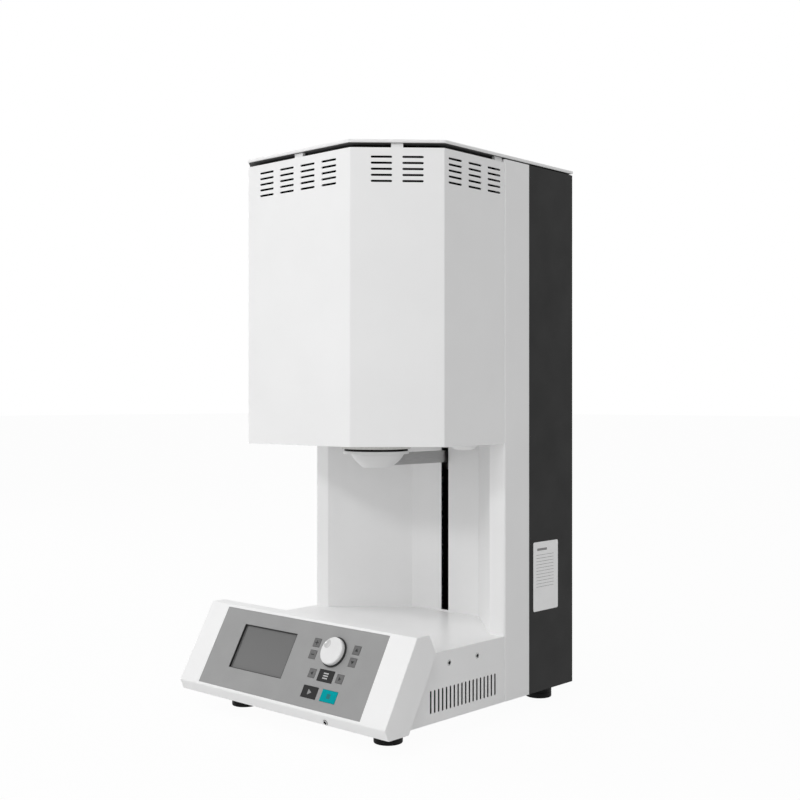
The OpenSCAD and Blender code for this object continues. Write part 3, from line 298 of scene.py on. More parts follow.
# Painted shade: the dimple darker than the knob; its lower roughness is the polish
KNOB_DIMPLE_SHADE = moulded_plastic("polished_knob_dimple_and_shade", "#C4C4C4", "#CACACA", 0.12, 1.2, 0.001)
OVERLAY_FILM = moulded_plastic("grey_overlay_film", "#959595", "#999999", 0.36, 1.6, 0.012)
KEY_GREY = moulded_plastic("grey_key_rubber", "#666666", "#6E6E6E", 0.55, Specular_IOR_Level=0.3)
KEY_DARK = moulded_plastic("dark_key_rubber", "#202020", "#272727", 0.5, Specular_IOR_Level=0.25)
KEY_TEAL = moulded_plastic("teal_key_rubber", "#00979E", "#009DA4", 0.5, Specular_IOR_Level=0.05)
SWITCH_RED = moulded_plastic("red_switch_plastic", "#861818", "#9A2020", 0.25, 1.5, 0.01)
PLATE_FILM = moulded_plastic("silver_plate_film", "#F4F4F4", "#F8F8F8", 0.3, 1.5, 0.01)
SCREEN = liquid_crystal()
COIL_WIRE = wound_wire("varnished_winding", "#7E5A22", "#C0904A", 1.6)
CORE_STACK = wound_wire("laminated_core", "#3A3D40", "#5E6265", 2.0)
BOARD = circuit_board("green_circuit_board")
CAST_CASE = moulded_plastic("painted_motor_case", "#3B3D40", "#4A4C4F", 0.5, 1.5, 0.05)
INK_DARK = printed_ink("dark_key_ink", "#1C1C1C")
INK_PALE = printed_ink("pale_key_ink", "#BDBDBD")
INK_TEAL = printed_ink("deep_teal_ink", "#00686D")
INK_GREY = printed_ink("grey_plate_ink", "#8E8E8E")
CONTACT = turned_metal("nickel_contact", "#C8C4B8", "#ABA79C", 0.28, 0.5)


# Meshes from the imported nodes


def link_object(name, data):
    """Adds an object that holds this data to the scene."""
    item = bpy.data.objects.new(name, data)
    bpy.context.scene.collection.objects.link(item)
    return item


def merged(node):
    """A bmesh of a node's own surface, welded and with its flat faces joined."""
    source = frame["nodes"][node].data
    plain = bpy.data.meshes.new("welded_" + node)
    plain.from_pydata(
        [v.co.copy() for v in source.vertices], [], [tuple(p.vertices) for p in source.polygons]
    )
    work = bmesh.new()
    work.from_mesh(plain)
    bpy.data.meshes.remove(plain)
    bmesh.ops.remove_doubles(work, verts=work.verts, dist=WELD)
    bmesh.ops.dissolve_degenerate(work, edges=work.edges, dist=WELD / 2)
    bmesh.ops.dissolve_limit(
        work, angle_limit=math.radians(0.2), verts=work.verts, edges=work.edges
    )
    work.normal_update()
    return work


def bevel(work, edges, radius_mm, segments):
    """Rounds these edges."""
    bmesh.ops.bevel(
        work, geom=edges, offset=radius_mm * MM, offset_type="OFFSET", segments=segments,
        profile=0.5, affect="EDGES", clamp_overlap=True,
    )


def weld(work):
    """Joins the points that lie on one another, and drops the faces that this leaves flat."""
    bmesh.ops.remove_doubles(work, verts=work.verts, dist=WELD)
    bmesh.ops.dissolve_degenerate(work, edges=work.edges, dist=WELD)


SHARP = math.radians(40)


def round_edges(work, radius_mm, segments, keep):
    """Rounds the sharp outward edges that keep(edge) accepts."""
    sharp = [
        e
        for e in work.edges
        if e.is_manifold and e.is_convex and e.calc_face_angle(0) > SHARP and keep(e)
    ]
    if sharp:
        bevel(work, sharp, radius_mm, segments)
        weld(work)


def prism(work, lower, upper):
    """Adds a closed prism between two outlines of equally many points."""
    lower = [work.verts.new(point) for point in lower]
    upper = [work.verts.new(point) for point in upper]
    work.faces.new(lower[::-1])
    work.faces.new(upper)
    for i in range(len(lower)):
        j = (i + 1) % len(lower)
        work.faces.new((lower[i], lower[j], upper[j], upper[i]))


def hand_over(piece, body, node):
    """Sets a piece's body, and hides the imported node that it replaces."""
    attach(piece, body)
    if node:
        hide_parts(node)


# Edges that turn by less than this many degrees are shaded smooth
SMOOTH_BELOW = 35


def make_piece(name, work, materials, body, node=None):
    """Turns a bmesh into a finished piece that rides on a body."""
    mesh = bpy.data.meshes.new(name)
    work.to_mesh(mesh)
    work.free()
    for material in materials:
        mesh.materials.append(material)
    piece = link_object(name, mesh)
    mesh.shade_smooth()
    mesh.set_sharp_from_angle(angle=math.radians(SMOOTH_BELOW))
    weighting = piece.modifiers.new("flat faces stay flat", "WEIGHTED_NORMAL")
    weighting.keep_sharp = True
    hand_over(piece, body, node)


BODY_OF = {n: b for b, nodes in frame["record"]["behaviour"]["bodies"].items() for n in nodes}


def stand_in(name, work, materials, node):
    """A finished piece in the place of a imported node."""
    make_piece(name, work, materials, BODY_OF[node], node)


def longer_than(length_mm):
    """An edge rule: only edges longer than this."""
    return lambda edge: edge.calc_length() > length_mm * MM


def dress(node, material, radius_mm=0.0, segments=2, keep=longer_than(0), paint=None, extra=()):
    """Replaces a node by its welded copy with rounded edges. paint(face) says which material."""
    work = merged(node)
    if radius_mm:
        round_edges(work, radius_mm, segments, keep)
    if paint:
        for face in work.faces:
            face.material_index = paint(face)
    stand_in(node + "_finished", work, [material, *extra], node)


def low_corner(node):
    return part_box(node)[0]


def high_corner(node):
    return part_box(node)[1]


def centre_of(node):
    low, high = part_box(node)
    return (low + high) / 2


# Sheet metal

HEAD_LOW, HEAD_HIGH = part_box("head_shell")
# Half the width of the head's front face
FRONT_HALF = max(
    abs(v.co.x)
    for v in frame["nodes"]["head_shell"].data.vertices
    if v.co.y < HEAD_LOW.y + 0.02 * MM
)
HEAD_AXIS = Vector((0, centre_of("tray_pan").y, 0))


def looks_in(face):
    """Paint rule: 1 on the walls that look towards the head's axis. They get painted shade."""
    outward = face.calc_center_median() - HEAD_AXIS
    outward.z = 0
    if abs(face.normal.z) > 0.7:
        return 0
    return int(face.normal.dot(outward) < -0.2 * outward.length)


def dress_sheets():
    """The coated jacket, column, base and console."""
    dress("head_shell", WHITE_COAT, 0.35, 2, longer_than(60), looks_in, [INSIDE_SHADE])
    lid_with_rolled_edge()
    heat_shield()
    dress("plate_standoffs", WHITE_COAT, 0.4)
    dress("column_liner", WHITE_COAT, 0.3, 2, longer_than(60), looks_back, [INSIDE_SHADE])
    dress("head_floor", WHITE_COAT, 0.4, 2, longer_than(30))
    dress("rear_housing", DARK_COAT, 0.45, 2, longer_than(60))
    dress("rear_panel", DARK_COAT, 0.3, 2, longer_than(60))
    dress("base_shell", WHITE_COAT, 1.2, 4, base_outer_edge, in_base, [INSIDE_SHADE, VENT_WALL_SHADE])
    dress("base_plate", ZINC_SHEET, 0.4, 2, longer_than(30), looks_up, [INSIDE_SHADE])
    dress("console_housing", WHITE_COAT, 1.0, 4, console_outer_edge)
    dress("floor_caps", WHITE_COAT)


BASE_HIGH = high_corner("base_shell")
CONSOLE_HIGH = high_corner("console_housing")


def looks_back(face):
    """Paint rule: 1 on the faces that look into the dark housing. They get painted shade."""
    return int(face.normal.y > 0.3)


def looks_up(face):
    """Paint rule: 1 on the faces that look up. They get painted shade."""
    return int(face.normal.z > 0.9)


# The base cover's side skin, the layer under its top, and a length that no edge of a vent reaches
SIDE_SKIN_MM, TOP_LAYER_MM, VENT_EDGE_MM = 3, 4, 60


def in_base(face):
    """Paint rule: 1 on the inner faces of the base cover, 2 on the cut walls of its vents. Both get painted shade.
    """
    middle, normal = face.calc_center_median(), face.normal
    near_top = BASE_HIGH.z - TOP_LAYER_MM * MM
    if abs(normal.x) > 0.9:
        return int(normal.x * middle.x < 0 and abs(middle.x) > 0.9 * BASE_HIGH.x)
    if abs(middle.x) > BASE_HIGH.x - SIDE_SKIN_MM * MM:
        longest = max(edge.calc_length() for edge in face.edges)
        return 2 if longest < VENT_EDGE_MM * MM and middle.z < near_top else 0
    return int(normal.z < -0.9 and middle.z > near_top)


def head_ring(inset_mm):
    """The head's outline in plan, moved inwards, from the shell's own corners."""
    half, front, rear = HEAD_HIGH.x, HEAD_LOW.y, HEAD_HIGH.y
    chamfer = half - FRONT_HALF
    inset = inset_mm * MM
    half_bend = math.radians(22.5)
    slant = inset * math.tan(half_bend)
    return [
        (-FRONT_HALF + slant, front + inset),
        (FRONT_HALF - slant, front + inset),
        (half - inset, front + chamfer + slant),
        (half - inset, rear),
        (-half + inset, rear),
        (-half + inset, front + chamfer + slant),
    ]


# The shield's distance from the jacket and from the lid, and its sheet
SHIELD_INSET_MM, SHIELD_GAP_MM, SHIELD_SHEET_MM = 16, 0.5, 1.0


def heat_shield():
    """Painted shade: a near-black inner sheet round the element terminals. It makes the vents look black."""
    low = high_corner("chamber_casing").z
    high = low_corner("top_plate").z - SHIELD_GAP_MM * MM
    work = bmesh.new()
    walls = []
    for x, y in head_ring(SHIELD_INSET_MM):
        walls.append((work.verts.new((x, y, low)), work.verts.new((x, y, high))))
    for k, (a, b) in enumerate(walls):
        c, d = walls[(k + 1) % len(walls)]
        work.faces.new((a, c, d, b))
    work.faces.new([b for _, b in walls])
    bmesh.ops.recalc_face_normals(work, faces=work.faces)
    bmesh.ops.solidify(work, geom=work.faces[:], thickness=SHIELD_SHEET_MM * MM)
    make_piece("heat_shield", work, [INSIDE_SHADE], "furnace")


# Radii of the lid's lower and upper edge
LID_LOWER_MM, LID_UPPER_MM = 1.6, 1.2


def lid_with_rolled_edge():
    """The top plate as a lid with rolled edges. Its underside gets painted shade, dark grey."""
    low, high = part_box("top_plate")
    overhang = (high.x - HEAD_HIGH.x) / MM
    ring = head_ring(-overhang)
    ring[3:5] = [(x, high.y) for x, _ in ring[3:5]]
    work = bmesh.new()
    prism(work, [(x, y, low.z) for x, y in ring], [(x, y, high.z) for x, y in ring])
    bmesh.ops.recalc_face_normals(work, faces=work.faces)
    for level, radius_mm in ((low.z, LID_LOWER_MM), (high.z, LID_UPPER_MM)):
        edges = [e for e in work.edges if all(abs(v.co.z - level) < WELD / 2 for v in e.verts)]
        bevel(work, edges, radius_mm, 5)
    work.normal_update()
    for face in work.faces:
        # Painted shade on the faces that look down
        face.material_index = int(face.normal.z < -0.95)
    stand_in("lid_finished", work, [WHITE_COAT, LID_UNDERSIDE_SHADE], "top_plate")


def base_outer_edge(edge):
    """The folds along the base's top and sides."""
    at_side = all(abs(v.co.x) > BASE_HIGH.x - ON_FACE for v in edge.verts)
    at_top = all(v.co.z > BASE_HIGH.z - ON_FACE for v in edge.verts)
    return at_side and at_top


def console_outer_edge(edge):
    """The outline of the console's two ends."""
    return all(abs(v.co.x) > CONSOLE_HIGH.x - ON_FACE for v in edge.verts)


# The control panel's own frame: across, up the slope, out of the face

PRESS = Vector(next(j["axis"] for j in frame["joints"] if j["name"] == "key_stop_press"))
PANEL_OUT = -PRESS.normalized()
PANEL_ACROSS = Vector((1, 0, 0))
PANEL_UP = PANEL_OUT.cross(PANEL_ACROSS).normalized()


def panel_face(node):
    """A matrix at the middle of a node's outermost face on the panel, and its half sizes."""
    points = [v.co for v in frame["nodes"][node].data.vertices]
    out = max(p.dot(PANEL_OUT) for p in points)
    face = [p for p in points if p.dot(PANEL_OUT) > out - ON_FACE]
    across = [p.dot(PANEL_ACROSS) for p in face]
    up = [p.dot(PANEL_UP) for p in face]
    middle = (
        PANEL_ACROSS * (min(across) + max(across)) / 2
        + PANEL_UP * (min(up) + max(up)) / 2
        + PANEL_OUT * out
    )
    turn = Matrix((PANEL_ACROSS, PANEL_UP, PANEL_OUT)).transposed().to_4x4()
    half = ((max(across) - min(across)) / 2, (max(up) - min(up)) / 2)
    return Matrix.Translation(middle) @ turn, half


def slab(work, outline, place, thickness):
    """Adds a closed prism from a flat outline in millimetres, standing on place's XY plane."""
    lower, upper = (
        [place @ Vector((x * MM, y * MM, z * MM)) for x, y in outline] for z in (0, thickness)
    )
    prism(work, lower, upper)


CORNERS = ((-1, -1), (1, -1), (1, 1), (-1, 1))


def rectangle(width, height, x=0.0, y=0.0):
    """The outline of a rectangle round a point, in millimetres."""
    return [(x + sx * width / 2, y + sy * height / 2) for sx, sy in CORNERS]


def rounded_rectangle(width, height, radius, steps=6):
    """The outline of a rectangle with round corners, in millimetres."""
    outline = []
    for k, (sx, sy) in enumerate(((1, 1), (-1, 1), (-1, -1), (1, -1))):
        for i in range(steps + 1):
            a = math.radians(90 * (k + i / steps))
            x = sx * (width / 2 - radius) + radius * math.cos(a)
            y = sy * (height / 2 - radius) + radius * math.sin(a)
            outline.append((x, y))
    return outline


# Each key's printed mark, as outlines in millimetres
MARKS = {
    "key_upper_left": [
        rectangle(6, 1.4),
        rectangle(1.4, 2.3, 0, 1.85),
        rectangle(1.4, 2.3, 0, -1.85),
    ],
    "key_lower_left": [rectangle(6, 1.4)],
    "key_upper_right": [[(-3, -1.8), (3, -1.8), (0, 2.6)]],
    "key_lower_right": [[(-3, 1.8), (0, -2.6), (3, 1.8)]],
    "key_back": [[(-2.8, 0), (1.7, -2.9), (1.7, 2.9)]],
    "key_next": [[(2.8, 0), (-1.7, 2.9), (-1.7, -2.9)]],
    "key_program": [rectangle(9, 1.6, 0, 3.3), rectangle(9, 1.6), rectangle(9, 1.6, 0, -3.3)],
    "key_start": [[(-3, -3.8), (4, 0), (-3, 3.8)]],
    "key_stop": [rectangle(6.6, 6.6)],
}
MARK_INK = {"key_program": INK_PALE, "key_start": INK_GREY, "key_stop": INK_TEAL}
KEY_FINISH = {"key_program": KEY_DARK, "key_start": KEY_DARK, "key_stop": KEY_TEAL}
INK_MM = 0.06


def dress_keys():
    """Moulded key caps with a generic printed mark each."""
    for key, shapes in MARKS.items():
        dress(key, KEY_FINISH.get(key, KEY_GREY), 0.45, 3, longer_than(2))
        place, _ = panel_face(key)
        work = bmesh.new()
        for shape in shapes:
            slab(work, shape, place, INK_MM)
        make_piece(key + "_mark", work, [MARK_INK.get(key, INK_DARK)], BODY_OF[key])


KNOB_TOP, KNOB_TOP_HALF = panel_face("knob")
# The flat rim of the knob's top is no deeper than this
KNOB_RIM_MM = 0.04


def in_dimple(face):
    """Paint rule: 1 on the finger dimple in the knob's top, which gets painted shade."""
    place = KNOB_TOP.inverted() @ face.calc_center_median()
    return int(place.xy.length < KNOB_TOP_HALF[0] and place.z < -KNOB_RIM_MM * MM)


def dress_console():
    """The control panel with its screen, knob and keys."""
    dress("control_panel", OVERLAY_FILM, 0.25, 2, longer_than(2))
    dress("display_bezel", BLACK_PLASTIC)
    dress("display_module", SCREEN)
    dress("knob", KNOB_PLASTIC, 0.3, 3, longer_than(0), in_dimple, [KNOB_DIMPLE_SHADE])
    # Painted shade: the skirt's black stands for the shaded gap under the knob
    dress("knob_skirt", BLACK_PLASTIC, 0.3, 2)
    dress_keys()


# Screws, made once and placed by a geometry tree


# Screw heads: the radius, the rings from foot to top as (share of the radius, height), how many of
# them get painted shade, and the recess: its reach and half width as shares of the radius, its depth.
# The sunk one is a raised countersunk head.
PAN_RINGS = ((1, 0), (1, 0.945), (0.88, 1.68), (0.62, 2.1))
PAN_HEAD = (3.5, PAN_RINGS, 0, (0.56, 0.15, 1.3))
SUNK_RINGS = ((1.06, -0.4), (1.06, 0.04), (0.96, 0.04), (0.93, 0.2), (0.84, 0.36))
SUNK_HEAD = (3.7, SUNK_RINGS, 2, (0.7, 0.36, 0.72))


def cross_head(radius, rings, shaded, cross, taper=0.6, steps=32):
    """A screw head with a cross recess that narrows by the taper, standing on the XY plane."""
    work = bmesh.new()
    painted_shade_layer = work.faces.layers.float.new("recess")
    loops = [
        [
            work.verts.new((r * radius * MM * math.cos(a), r * radius * MM * math.sin(a), z * MM))
            for a in (2 * math.pi * i / steps for i in range(steps))
        ]
        for r, z in rings
    ]
    for k, (lower, upper) in enumerate(zip(loops, loops[1:])):
        for i in range(steps):
            j = (i + 1) % steps
            side = work.faces.new((lower[i], lower[j], upper[j], upper[i]))
            # The lowest rings of a sunk head, its gap, get painted shade
            side[painted_shade_layer] = float(k < shaded)
    work.faces.new(loops[0][::-1])
    reach, half, deep = cross[0] * radius, cross[1] * radius, cross[2]
    outline = []
    for k in range(4):
        a = math.pi / 2 * k
        for x, y in ((reach, -half), (reach, half), (half, half)):
            outline.append((x * math.cos(a) - y * math.sin(a), x * math.sin(a) + y * math.cos(a)))
    top = rings[-1][1]
    rim = [work.verts.new((x * MM, y * MM, top * MM)) for x, y in outline]
    narrow, floor = taper * MM, (top - deep) * MM
    base = [work.verts.new((x * narrow, y * narrow, floor)) for x, y in outline]
    for i in range(len(outline)):
        j = (i + 1) % len(outline)
        # The recess gets painted shade
        work.faces.new((rim[j], rim[i], base[i], base[j]))[painted_shade_layer] = 1.0
    work.faces.new(base)[painted_shade_layer] = 1.0
    edges = [e for e in work.edges if e.is_boundary]
    bmesh.ops.triangle_fill(work, use_beauty=True, edges=edges, normal=(0, 0, 1))
    bmesh.ops.recalc_face_normals(work, faces=work.faces)
    mesh = bpy.data.meshes.new("cross_head")
    work.to_mesh(mesh)
    work.free()
    return link_object("cross_head", mesh)


def geometry_tree(name, **inputs):
    """A new geometry tree, and its input sockets, whose kinds are given by name."""
    tree = bpy.data.node_groups.new(name, "GeometryNodeTree")
    for socket, kind in inputs.items():
        tree.interface.new_socket(socket, in_out="INPUT", socket_type="NodeSocket" + kind)
    tree.interface.new_socket("Result", in_out="OUTPUT", socket_type="NodeSocketGeometry")
    return tree, add(tree, "NodeGroupInput").outputs


def coated_result(tree, geometry, material):
    """Coats a geometry, and makes it the tree's result."""
    coated = add(tree, "GeometryNodeSetMaterial", {"Geometry": geometry, "Material": material})
    add(tree, "NodeGroupOutput", {"Result": coated.outputs["Geometry"]})


def grown(holder, tree, **values):
    """The mesh that a geometry tree grows on a holder, which is then removed."""
    modifier = holder.modifiers.new("grown", "NODES")
    modifier.node_group = tree
    sockets = {s.name: s.identifier for s in tree.interface.items_tree if s.in_out == "INPUT"}
    for name, value in values.items():
        modifier[sockets[name]] = value
    graph = bpy.context.evaluated_depsgraph_get()
    mesh = bpy.data.meshes.new_from_object(holder.evaluated_get(graph))
    bpy.data.objects.remove(holder)
    return mesh


def scatter_tree(name, material):
    """A geometry tree that puts an item on every place, turned by the place's own angles."""
    tree, given = geometry_tree(name, Places="Geometry", Item="Object")
    turn = add(tree, "GeometryNodeInputNamedAttribute", {"Name": "turn"}, data_type="FLOAT_VECTOR")
    item = add(tree, "GeometryNodeObjectInfo", {"Object": given["Item"]})
    placed = add(
        tree,
        "GeometryNodeInstanceOnPoints",
        {"Points": given["Places"], "Instance": item.outputs["Geometry"],
         "Rotation": turn.outputs[0]},
    )
    real = add(tree, "GeometryNodeRealizeInstances", {"Geometry": placed.outputs["Instances"]})
    coated_result(tree, real.outputs["Geometry"], material)
    return tree


def scatter(name, item, places, material, node):
    """Puts item on each (point, direction) pair, as one plain mesh, and removes the item."""
    mesh = bpy.data.meshes.new(name + "_places")
    mesh.from_pydata([p for p, _ in places], [], [])
    turns = mesh.attributes.new("turn", "FLOAT_VECTOR", "POINT")
    for k, (_, out) in enumerate(places):
        turns.data[k].vector = Vector(out).to_track_quat("Z", "Y").to_euler()
    holder = link_object(name + "_places", mesh)
    result = grown(holder, scatter_tree(name, material), Item=item)
    bpy.data.objects.remove(item)
    piece = link_object(name, result)
    result.shade_smooth()
    result.set_sharp_from_angle(angle=math.radians(30))
    hand_over(piece, BODY_OF[node], node)


def solids_of(node):
    """The low and the high corner of each separate solid of a node."""
    work = merged(node)
    left, found = dict.fromkeys(work.verts), []
    while left:
        stack, part = [left.popitem()[0]], []
        while stack:
            vertex = stack.pop()
            part.append(vertex.co.copy())
            for edge in vertex.link_edges:
                other = edge.other_vert(vertex)
                if other in left:
                    del left[other]
                    stack.append(other)
        found.append((Vector(map(min, *part)), Vector(map(max, *part))))
    work.free()
    return found


# The way that the console's lip faces, and how far out from a screw's middle its head is. Screws
# this far before the console's rear are the lip's.
LIP_OUT = Vector((0, -0.921, -0.39))
LIP_HEAD_MM, LIP_FROM_REAR_MM = 4, 60


def dress_screws():
    """Cross recesses and heads on every screw that the part carries."""
    pan_head, sunk_head = cross_head(*PAN_HEAD), cross_head(*SUNK_HEAD)
    rear_face = high_corner("rear_panel").y
    head_top = PAN_RINGS[-1][1] * MM
    pans, flats = [], []
    for low, high in solids_of("pan_screws"):
        middle = (low + high) / 2
        if high.y > rear_face:
            pans.append(((middle.x, rear_face, middle.z), (0, 1, 0)))
        else:
            pans.append(((middle.x, middle.y, low.z + head_top), (0, 0, -1)))
    for low, high in solids_of("flat_screws"):
        middle = (low + high) / 2
        if high.y < CONSOLE_HIGH.y - LIP_FROM_REAR_MM * MM:
            flats.append((tuple(middle + LIP_OUT * LIP_HEAD_MM * MM), tuple(LIP_OUT)))
        else:
            side = 1 if middle.x > 0 else -1
            x = high.x if side > 0 else low.x
            flats.append(((x, middle.y, middle.z), (side, 0, 0)))
    for kind, head, places in (("pan", pan_head, pans), ("flat", sunk_head, flats)):
        scatter(kind + "_screw_heads", head, places, SCREW_STEEL, kind + "_screws")


# The lift: arm, pan, plug, drive


THREAD_LEAD_MM, THREAD_DEPTH_MM = 8, 0.9
# Where along the lead a tooth starts, is full, starts to fall and ends
TOOTH = (0.0, 0.12, 0.48, 0.6)


def threaded_screw(around=28):
    """A trapezoidal lead screw with a real helix, on the node's own axis and length."""
    low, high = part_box("lead_screw")
    middle = (low + high) / 2
    outer = (high.x - low.x) / 2
    lead, root = THREAD_LEAD_MM * MM, outer - THREAD_DEPTH_MM * MM
    profile = list(zip(TOOTH, (root, outer, outer, root)))
    work = bmesh.new()
    rows = []
    turns = math.ceil((high.z - low.z) / lead) + 1
    for t in range(-around, turns * around):
        angle = 2 * math.pi * t / around
        row = []
        for share, r in profile:
            z = min(max(low.z + (t / around + share) * lead, low.z), high.z)
            x, y = middle.x + r * math.cos(angle), middle.y + r * math.sin(angle)
            row.append(work.verts.new((x, y, z)))
        rows.append(row)
    last = len(profile) - 1
    for a, b in zip(rows, rows[1:]):
        for k in range(last):
            work.faces.new((a[k], b[k], b[k + 1], a[k + 1]))
    # Between the teeth, each turn joins the next one
    for t in range(len(rows) - around - 1):
        a, b = rows[t], rows[t + 1]
        c, d = rows[t + around], rows[t + around + 1]
        work.faces.new((a[last], b[last], d[0], c[0]))
    weld(work)
    # Both ends close towards the axis
    for level in (low.z, high.z):
        pole = work.verts.new((middle.x, middle.y, level))
        for edge in [e for e in work.edges if e.is_boundary]:
            if all(abs(v.co.z - level) < 5 * WELD for v in edge.verts):
                work.faces.new((edge.verts[0], edge.verts[1], pole))
    bmesh.ops.recalc_face_normals(work, faces=work.faces)
    stand_in("lead_screw_thread", work, [GROUND_STEEL], "lead_screw")


# How far the pan's bowl and the underside of its lip are below its top, how much thinner the lip
# is made, and the width of the slot for the arm
PAN_BOWL_MM, PAN_LIP_MM, PAN_THINNER_MM, PAN_SLOT_MM = 2.7, 5.0, 1.0, 8.0
# The bowl's wall lies between these radii. It swells, from this share of its depth in full, and
# is drawn out towards the arm by this share.
PAN_HUB_MM, PAN_WALL_MM = 10, 42
PAN_SWELL_MM, PAN_FULL_DEPTH, PAN_DRAW = 1.5, 0.7, 0.27


def spun_pan(levels=8):
    """The lift pan with a thin lip, and with its bowl drawn out towards the arm."""
    low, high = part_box("tray_pan")
    middle = centre_of("tray_pan")
    lip_z, bowl_top = high.z - PAN_LIP_MM * MM, high.z - PAN_BOWL_MM * MM
    close = 2 * ON_FACE
    work = merged("tray_pan")
    for k in range(1, levels):
        height = low.z + (bowl_top - low.z) * k / levels
        geometry = work.verts[:] + work.edges[:] + work.faces[:]
        bmesh.ops.bisect_plane(
            work, geom=geometry, dist=WELD / 2, plane_co=(0, 0, height), plane_no=(0, 0, 1)
        )
    for vert in work.verts:
        if abs(vert.co.z - lip_z) < close:
            vert.co.z += PAN_THINNER_MM * MM
        elif vert.co.z < bowl_top + close:
            depth = (bowl_top - vert.co.z) / (bowl_top - low.z)
            out = Vector((vert.co.x, vert.co.y - middle.y, 0))
            if not PAN_HUB_MM * MM < out.length < PAN_WALL_MM * MM:
                continue
            if out.y > 0 and abs(out.x) < PAN_SLOT_MM / 2 * MM:
                out.x = 0
            swell = math.sin(math.pi / 2 * min(depth / PAN_FULL_DEPTH, 1))
            vert.co += out.normalized() * PAN_SWELL_MM * MM * swell
            if out.y > 0:
                vert.co.y += PAN_DRAW * out.y
    work.normal_update()
    round_edges(work, 0.5, 3, longer_than(0))
    stand_in("tray_pan_finished", work, [PAN_COAT], "tray_pan")


def dress_lift():
    """Everything that rises, and the drive behind the column."""
    dress("lift_arm", ARM_STEEL, 0.5, 2, longer_than(3))
    spun_pan()
    # Painted shade: the seat's near-black stands for the shaded gap under the mouth ring
    dress("plug_seat", SEAT_STEEL_SHADE, 0.5, 3)
    dress("firing_plug", FIBRE, 1.0, 3)
    dress("firing_tray", ALUMINA, 0.6, 3)
    dress("mouth_ring", FIBRE, 1.0, 3)
    dress("carriage", ALUMINIUM, 0.8, 2)
    dress("carriage_bushes", BRONZE)
    dress("lift_nut", BRONZE, 0.5, 2)
    dress("guide_rods", GROUND_STEEL)
    dress("drive_blocks", ALUMINIUM, 0.8, 2)
    dress("shaft_coupling", ALUMINIUM, 0.5, 2)
    dress("lift_motor", CAST_CASE, 1.2, 3)
    threaded_screw()


# The inside of the head and the base


def dress_inside():
    """The chamber, the transformer and the boards."""
    dress("chamber_floor", FIBRE)
    dress("chamber_wall", FIBRE)
    dress("chamber_roof", FIBRE)
    dress("chamber_casing", ZINC_SHEET)
    dress("heating_elements", SILICIDE)
    dress("element_holders", ALUMINA, 0.8, 2)
    dress("thermocouple", ALUMINA, 0.6, 2)
    dress("transformer_core", CORE_STACK, 0.4, 2)
    dress("transformer_coil", COIL_WIRE, 2.5, 3)
    dress("power_board", BOARD)
    dress("key_board", BOARD)
    dress("encoder", ZINC_SHEET)
    dress("panel_carrier", BLACK_PLASTIC)


# The rear: fan, guard, inlet, switch


# The finger guard: radii of its wire and first ring, the step to the next ring, the rings' number
WIRE_MM, FIRST_RING_MM, RING_PITCH_MM, RINGS = 0.8, 10, 6.5, 5
# Where its spokes start and how far before the corners they end, then its eyes' radius and inset
SPOKE_START_MM, SPOKE_INSET_MM = 8, 4
EYE_MM, EYE_INSET_MM = 4.2, 4.5


def math_node(tree, operation, first, second):
    """The result of one sum on two sockets or values."""
    return add(tree, "ShaderNodeMath", {0: first, 1: second}, operation=operation).outputs[0]


def guard_tree():
    """A geometry tree of concentric rings of round wire."""
    tree, given = geometry_tree(
        "guard_rings", Wire="Float", First="Float", Pitch="Float", Rings="Int"
    )
    points = add(tree, "GeometryNodeMeshLine", {"Count": given["Rings"], "Offset": (0, 0, 0)})
    index = add(tree, "GeometryNodeInputIndex").outputs[0]
    size = math_node(tree, "MULTIPLY", index, given["Pitch"])
    size = math_node(tree, "ADD", size, given["First"])
    circle = add(tree, "GeometryNodeCurvePrimitiveCircle", {"Resolution": 64, "Radius": 1.0})
    rings = add(
        tree,
        "GeometryNodeInstanceOnPoints",
        {"Points": points.outputs["Mesh"], "Instance": circle.outputs["Curve"], "Scale": size},
    )
    real = add(tree, "GeometryNodeRealizeInstances", {"Geometry": rings.outputs["Instances"]})
    profile = add(
        tree, "GeometryNodeCurvePrimitiveCircle", {"Resolution": 10, "Radius": given["Wire"]}
    )
    swept = add(
        tree,
        "GeometryNodeCurveToMesh",
        {"Curve": real.outputs["Geometry"], "Profile Curve": profile.outputs["Curve"]},
    )
    coated_result(tree, swept.outputs["Mesh"], GROUND_STEEL)
    return tree


def cylinder(work, radius, depth, segments):
    """Adds a closed cylinder round the Z axis, and gives back its points."""
    return bmesh.ops.create_cone(
        work, cap_ends=True, segments=segments, radius1=radius, radius2=radius, depth=depth
    )["verts"]


